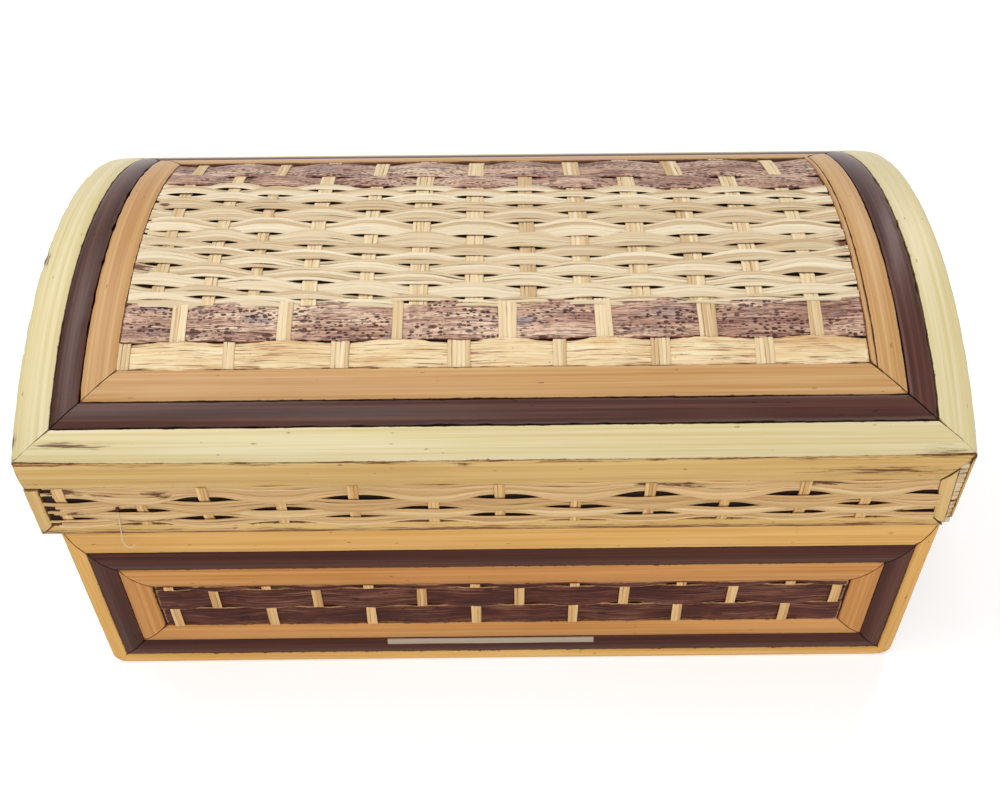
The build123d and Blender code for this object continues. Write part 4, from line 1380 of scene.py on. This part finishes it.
def screw_heads(body):
    """Round slotted heads on the hinge leaves."""
    node = f"{body}_hinge_screws"
    low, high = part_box(node)
    mesher = Mesher()
    rng = dice(node)
    disc = turns(24)
    for place in SCREW_PLACES:
        seat = (place * MM, high[1] - SCREW_HEAD, (low[2] + high[2]) / 2)
        surface = flat(seat, (1, 0, 0), (0, 0, 1), (0, 1, 0))
        turn = rng.uniform(0, pi)
        half_head(mesher, surface, turn, -1)
        half_head(mesher, surface, turn, 1)
        u, v = SCREW_NECK * np.cos(disc), SCREW_NECK * np.sin(disc)
        rings = [surface(u, v, np.full(len(u), level * SCREW_HEAD)) for level in (-2.0, 0.45)]
        mesher.bar(np.stack(rings), np.zeros((2, len(disc) + 1, 2)), 1.0, 0.5)
    mesher.build(f"{body}_screw_heads", body, "brass", BRASS, node)


screw_heads("base")
screw_heads("lid")


# Small things that the photograph shows: a pale slip on the lowest dark strip, and a loose fibre
# whose turns are smoothed over a few samples on each side

SLIP_SAMPLES = 60
SLIP_ENDS = (-34.6 * MM, 30.4 * MM)
SLIP_LOW, SLIP_HIGH = 8.5 * MM, 11.7 * MM
SLIP_WAVE = (50 * MM, 0.25 * MM)
SLIP_LIFT, SLIP_THICKNESS, SLIP_CAMBER, SLIP_ROUND = -0.1 * MM, 0.6 * MM, 0.25 * MM, 0.1 * MM


def slip_with_painted_reflection():
    """A thin slip of clear tape on the lower dark strip of the base's front, pale partly from its own milky
    colour and partly from painted reflection.
    """
    surface = face_of("front", BASE_LEFT, BASE_RIGHT, BASE_FRONT, BASE_BACK, 0)
    mesher = Mesher()
    rng = dice("slip")
    along = np.linspace(*SLIP_ENDS, SLIP_SAMPLES) - BASE_MIDDLE_X
    low = SLIP_LOW + ripple(rng, along, *SLIP_WAVE)
    outer = np.stack([along, low], -1)
    inner = np.stack([along, np.full(SLIP_SAMPLES, SLIP_HIGH)], -1)
    lift = np.full(SLIP_SAMPLES, SLIP_LIFT)
    ribbon(mesher, surface, outer, inner, lift, SLIP_THICKNESS, SLIP_CAMBER, 0.5, SLIP_ROUND)
    mesher.build("slip_with_painted_reflection", "base", "stake", PALE_SLIP_AND_REFLECTION)


LOOSE_FIBRE = [
    (-103.2, 79.6),
    (-103.5, 76.5),
    (-103.9, 73.0),
    (-104.4, 69.5),
    (-104.7, 66.4),
    (-103.8, 64.5),
    (-102.2, 64.6),
    (-101.2, 66.6),
]
LOOSE_RADIUS = 0.17 * MM
LOOSE_LENGTH = 18 * MM
LOOSE_SAMPLES, LOOSE_SIDES = 40, 8
LOOSE_LIFT, LOOSE_RISE = 0.3 * MM, 0.6 * MM
LOOSE_REACH = 3
KNOT_HEIGHT = 80.3 * MM
KNOT = [(-0.6, 0.45), (-0.3, 0.62), (0.1, 0.55), (0.35, 0.35), (0.5, 0.15)]


def loose_fibre():
    """A fine fibre that has come out of the skirt's weave, with a dark knot at its top."""
    places = mm(LOOSE_FIBRE)
    share = np.linspace(0, len(places) - 1, LOOSE_SAMPLES)
    smooth = np.ones(2 * LOOSE_REACH + 1) / (2 * LOOSE_REACH + 1)
    line = [np.interp(share, np.arange(len(places)), places[:, axis]) for axis in range(2)]
    u, v = (np.convolve(np.pad(values, LOOSE_REACH, "edge"), smooth, "valid") for values in line)
    surface = flat((0, LID_FRONT, 0), (1, 0, 0), (0, 0, 1), (0, -1, 0))
    steps = np.stack([np.gradient(u), np.gradient(v)], -1)
    steps = steps / np.linalg.norm(steps, axis=1)[:, None]
    angle = turns(LOOSE_SIDES)
    across = np.cos(angle)[None, :] * LOOSE_RADIUS
    ring_u = u[:, None] - steps[:, 1:] * across
    ring_v = v[:, None] + steps[:, :1] * across
    height = LOOSE_LIFT + LOOSE_RISE * (share / share[-1])[:, None]
    lift = height + np.sin(angle)[None, :] * LOOSE_RADIUS
    mesher = Mesher()
    grain = np.zeros((LOOSE_SAMPLES, LOOSE_SIDES + 1, 2))
    grain[:, :, 0] = np.linspace(0, LOOSE_LENGTH, LOOSE_SAMPLES)[:, None]
    mesher.bar(surface(ring_u, ring_v, lift), grain, LOOSE_RADIUS, 0.9)
    mesher.build("loose_fibre", "lid", "rattan_fibre", FIBRE)
    knot = Mesher()
    rings = []
    for level, size in mm(KNOT):
        knot_u, knot_v = places[0, 0] + size * np.cos(angle), KNOT_HEIGHT + size * np.sin(angle)
        rings.append(surface(knot_u, knot_v, np.full(LOOSE_SIDES, level)))
    knot.bar(np.stack(rings), np.zeros((len(rings), LOOSE_SIDES + 1, 2)), 1.0, 0.2)
    knot.build("fibre_knot", "lid", "dark_bark", DARK_BARK)


slip_with_painted_reflection()
loose_fibre()
linings()


# Camera, fitted to the strip lines and the silhouette

CAMERA_PLACE = Vector((1.635, -282.95, 333.26)) * MM
CAMERA_DOWN = radians(45.40)
CAMERA_ROLL = -0.0103
FOCAL_PIXELS = 1200
PICTURE_WIDTH_PIXELS = 1000
SENSOR_WIDTH = 36


def camera():
    """The camera that took the photograph."""
    data = bpy.data.cameras.new("camera")
    eye = add_object("camera", data)
    data.sensor_width = SENSOR_WIDTH
    data.lens = SENSOR_WIDTH * FOCAL_PIXELS / PICTURE_WIDTH_PIXELS
    data.clip_start = 0.01
    right = Vector((1, 0, 0))
    forward = Vector((0, cos(CAMERA_DOWN), -sin(CAMERA_DOWN)))
    up = right.cross(forward)
    across = cos(CAMERA_ROLL) * right + sin(CAMERA_ROLL) * up
    over = -sin(CAMERA_ROLL) * right + cos(CAMERA_ROLL) * up
    axes = Matrix((across, over, -forward)).transposed().to_4x4()
    eye.matrix_world = Matrix.Translation(CAMERA_PLACE) @ axes
    bpy.context.scene.camera = eye


camera()


# Floor, lamps and world


def lamp(name, place, target, size, watts, colour=(1, 1, 1)):
    """A rectangular lamp that points at a target."""
    data = bpy.data.lights.new(name, "AREA")
    data.shape = "RECTANGLE"
    data.size, data.size_y = size
    data.energy = watts
    data.color = colour
    light = add_object(name, data)
    light.location = place
    light.rotation_euler = (Vector(target) - Vector(place)).to_track_quat("-Z", "Y").to_euler()


def white_rays(nodes):
    """1 for the rays that see the background: from the camera, off a shine or through glass."""
    path = nodes.node("LightPath").outputs
    seen = path["Is Camera Ray"]
    for ray in ("Is Glossy Ray", "Is Transmission Ray"):
        seen = nodes.maths("MAXIMUM", seen, path[ray])
    return seen


FLOOR_REACH = 6.0
FLOOR_SHADE = 0.7
NEAR_GLOW = 0.5
FAR_GLOW = 0.86
FLOOR_FADE = (0.7, 2.2)
SKY_LEVEL = 0.21


def pale_floor():
    """A matt floor that shows as white where the object doesn't shade it."""
    corners = [(x * FLOOR_REACH, y * FLOOR_REACH, 0) for x, y in ((-1, -1), (1, -1), (1, 1), (-1, 1))]
    mesh = bpy.data.meshes.new("floor")
    mesh.from_pydata(corners, [], [(0, 1, 2, 3)])
    floor = add_object("floor", mesh)
    s = Shader("floor")
    place = s.node("TexCoord").outputs["Object"]
    away = s.node("VectorMath", {0: place}, operation="LENGTH").outputs["Value"]
    level = s.maths("MULTIPLY_ADD", s.window(away, *FLOOR_FADE), FAR_GLOW - NEAR_GLOW, NEAR_GLOW)
    glow = s.maths("MULTIPLY", white_rays(s), level)
    matt = s.node("BsdfDiffuse", {"Color": (FLOOR_SHADE, FLOOR_SHADE, FLOOR_SHADE, 1)}).outputs[0]
    light = s.node("Emission", {"Strength": glow}).outputs[0]
    both = s.node("AddShader", {0: matt, 1: light}).outputs[0]
    s.tree.links.new(both, s.output.inputs[0])
    mesh.materials.append(s.material)


def pale_world():
    """A world that is white to the background's rays, and lights the object softly."""
    world = bpy.data.worlds.new("studio")
    bpy.context.scene.world = world
    nodes = Nodes(world)
    level = nodes.node("MapRange", {0: white_rays(nodes), 3: SKY_LEVEL, 4: 1.0}).outputs[0]
    sky = nodes.node("Background", {0: (1, 1, 1, 1), 1: level}).outputs[0]
    nodes.node("OutputWorld", {0: sky})


pale_floor()
pale_world()
lamp("window_behind", (-0.3, 0.5, 1.0), (0, 0, 0.08), (0.45, 0.45), 1.6, (1.0, 0.99, 0.97))
lamp("room_front", (0.25, -1.1, 0.65), (0, 0, 0.06), (0.9, 0.6), 6.5, (1.0, 0.97, 0.93))
lamp("skylight_left", (-0.455, 0.05, 1.03), (-0.1, 0, 0.1), (0.8, 0.26), 4.3)
lamp("skylight_right", (0.52, 0.8, 1.03), (0.1, 0.1, 0.1), (0.26, 0.8), 3.8)
lamp("skylight_wide", (-0.17, -0.4, 1.15), (-0.17, -0.3, 0), (0.08, 0.6), 1.8)
lamp("skylight_narrow", (-0.07, -0.4, 1.15), (-0.07, -0.3, 0), (0.03, 0.6), 0.7)

# the boards take the near-black colour that paints the shade of the gaps
for name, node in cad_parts.items():
    node.data.materials.clear()
    node.data.materials.append(BRASS if "hinge" in name else SHADED_BOARD)

bpy.context.scene.view_settings.view_transform = "Standard"
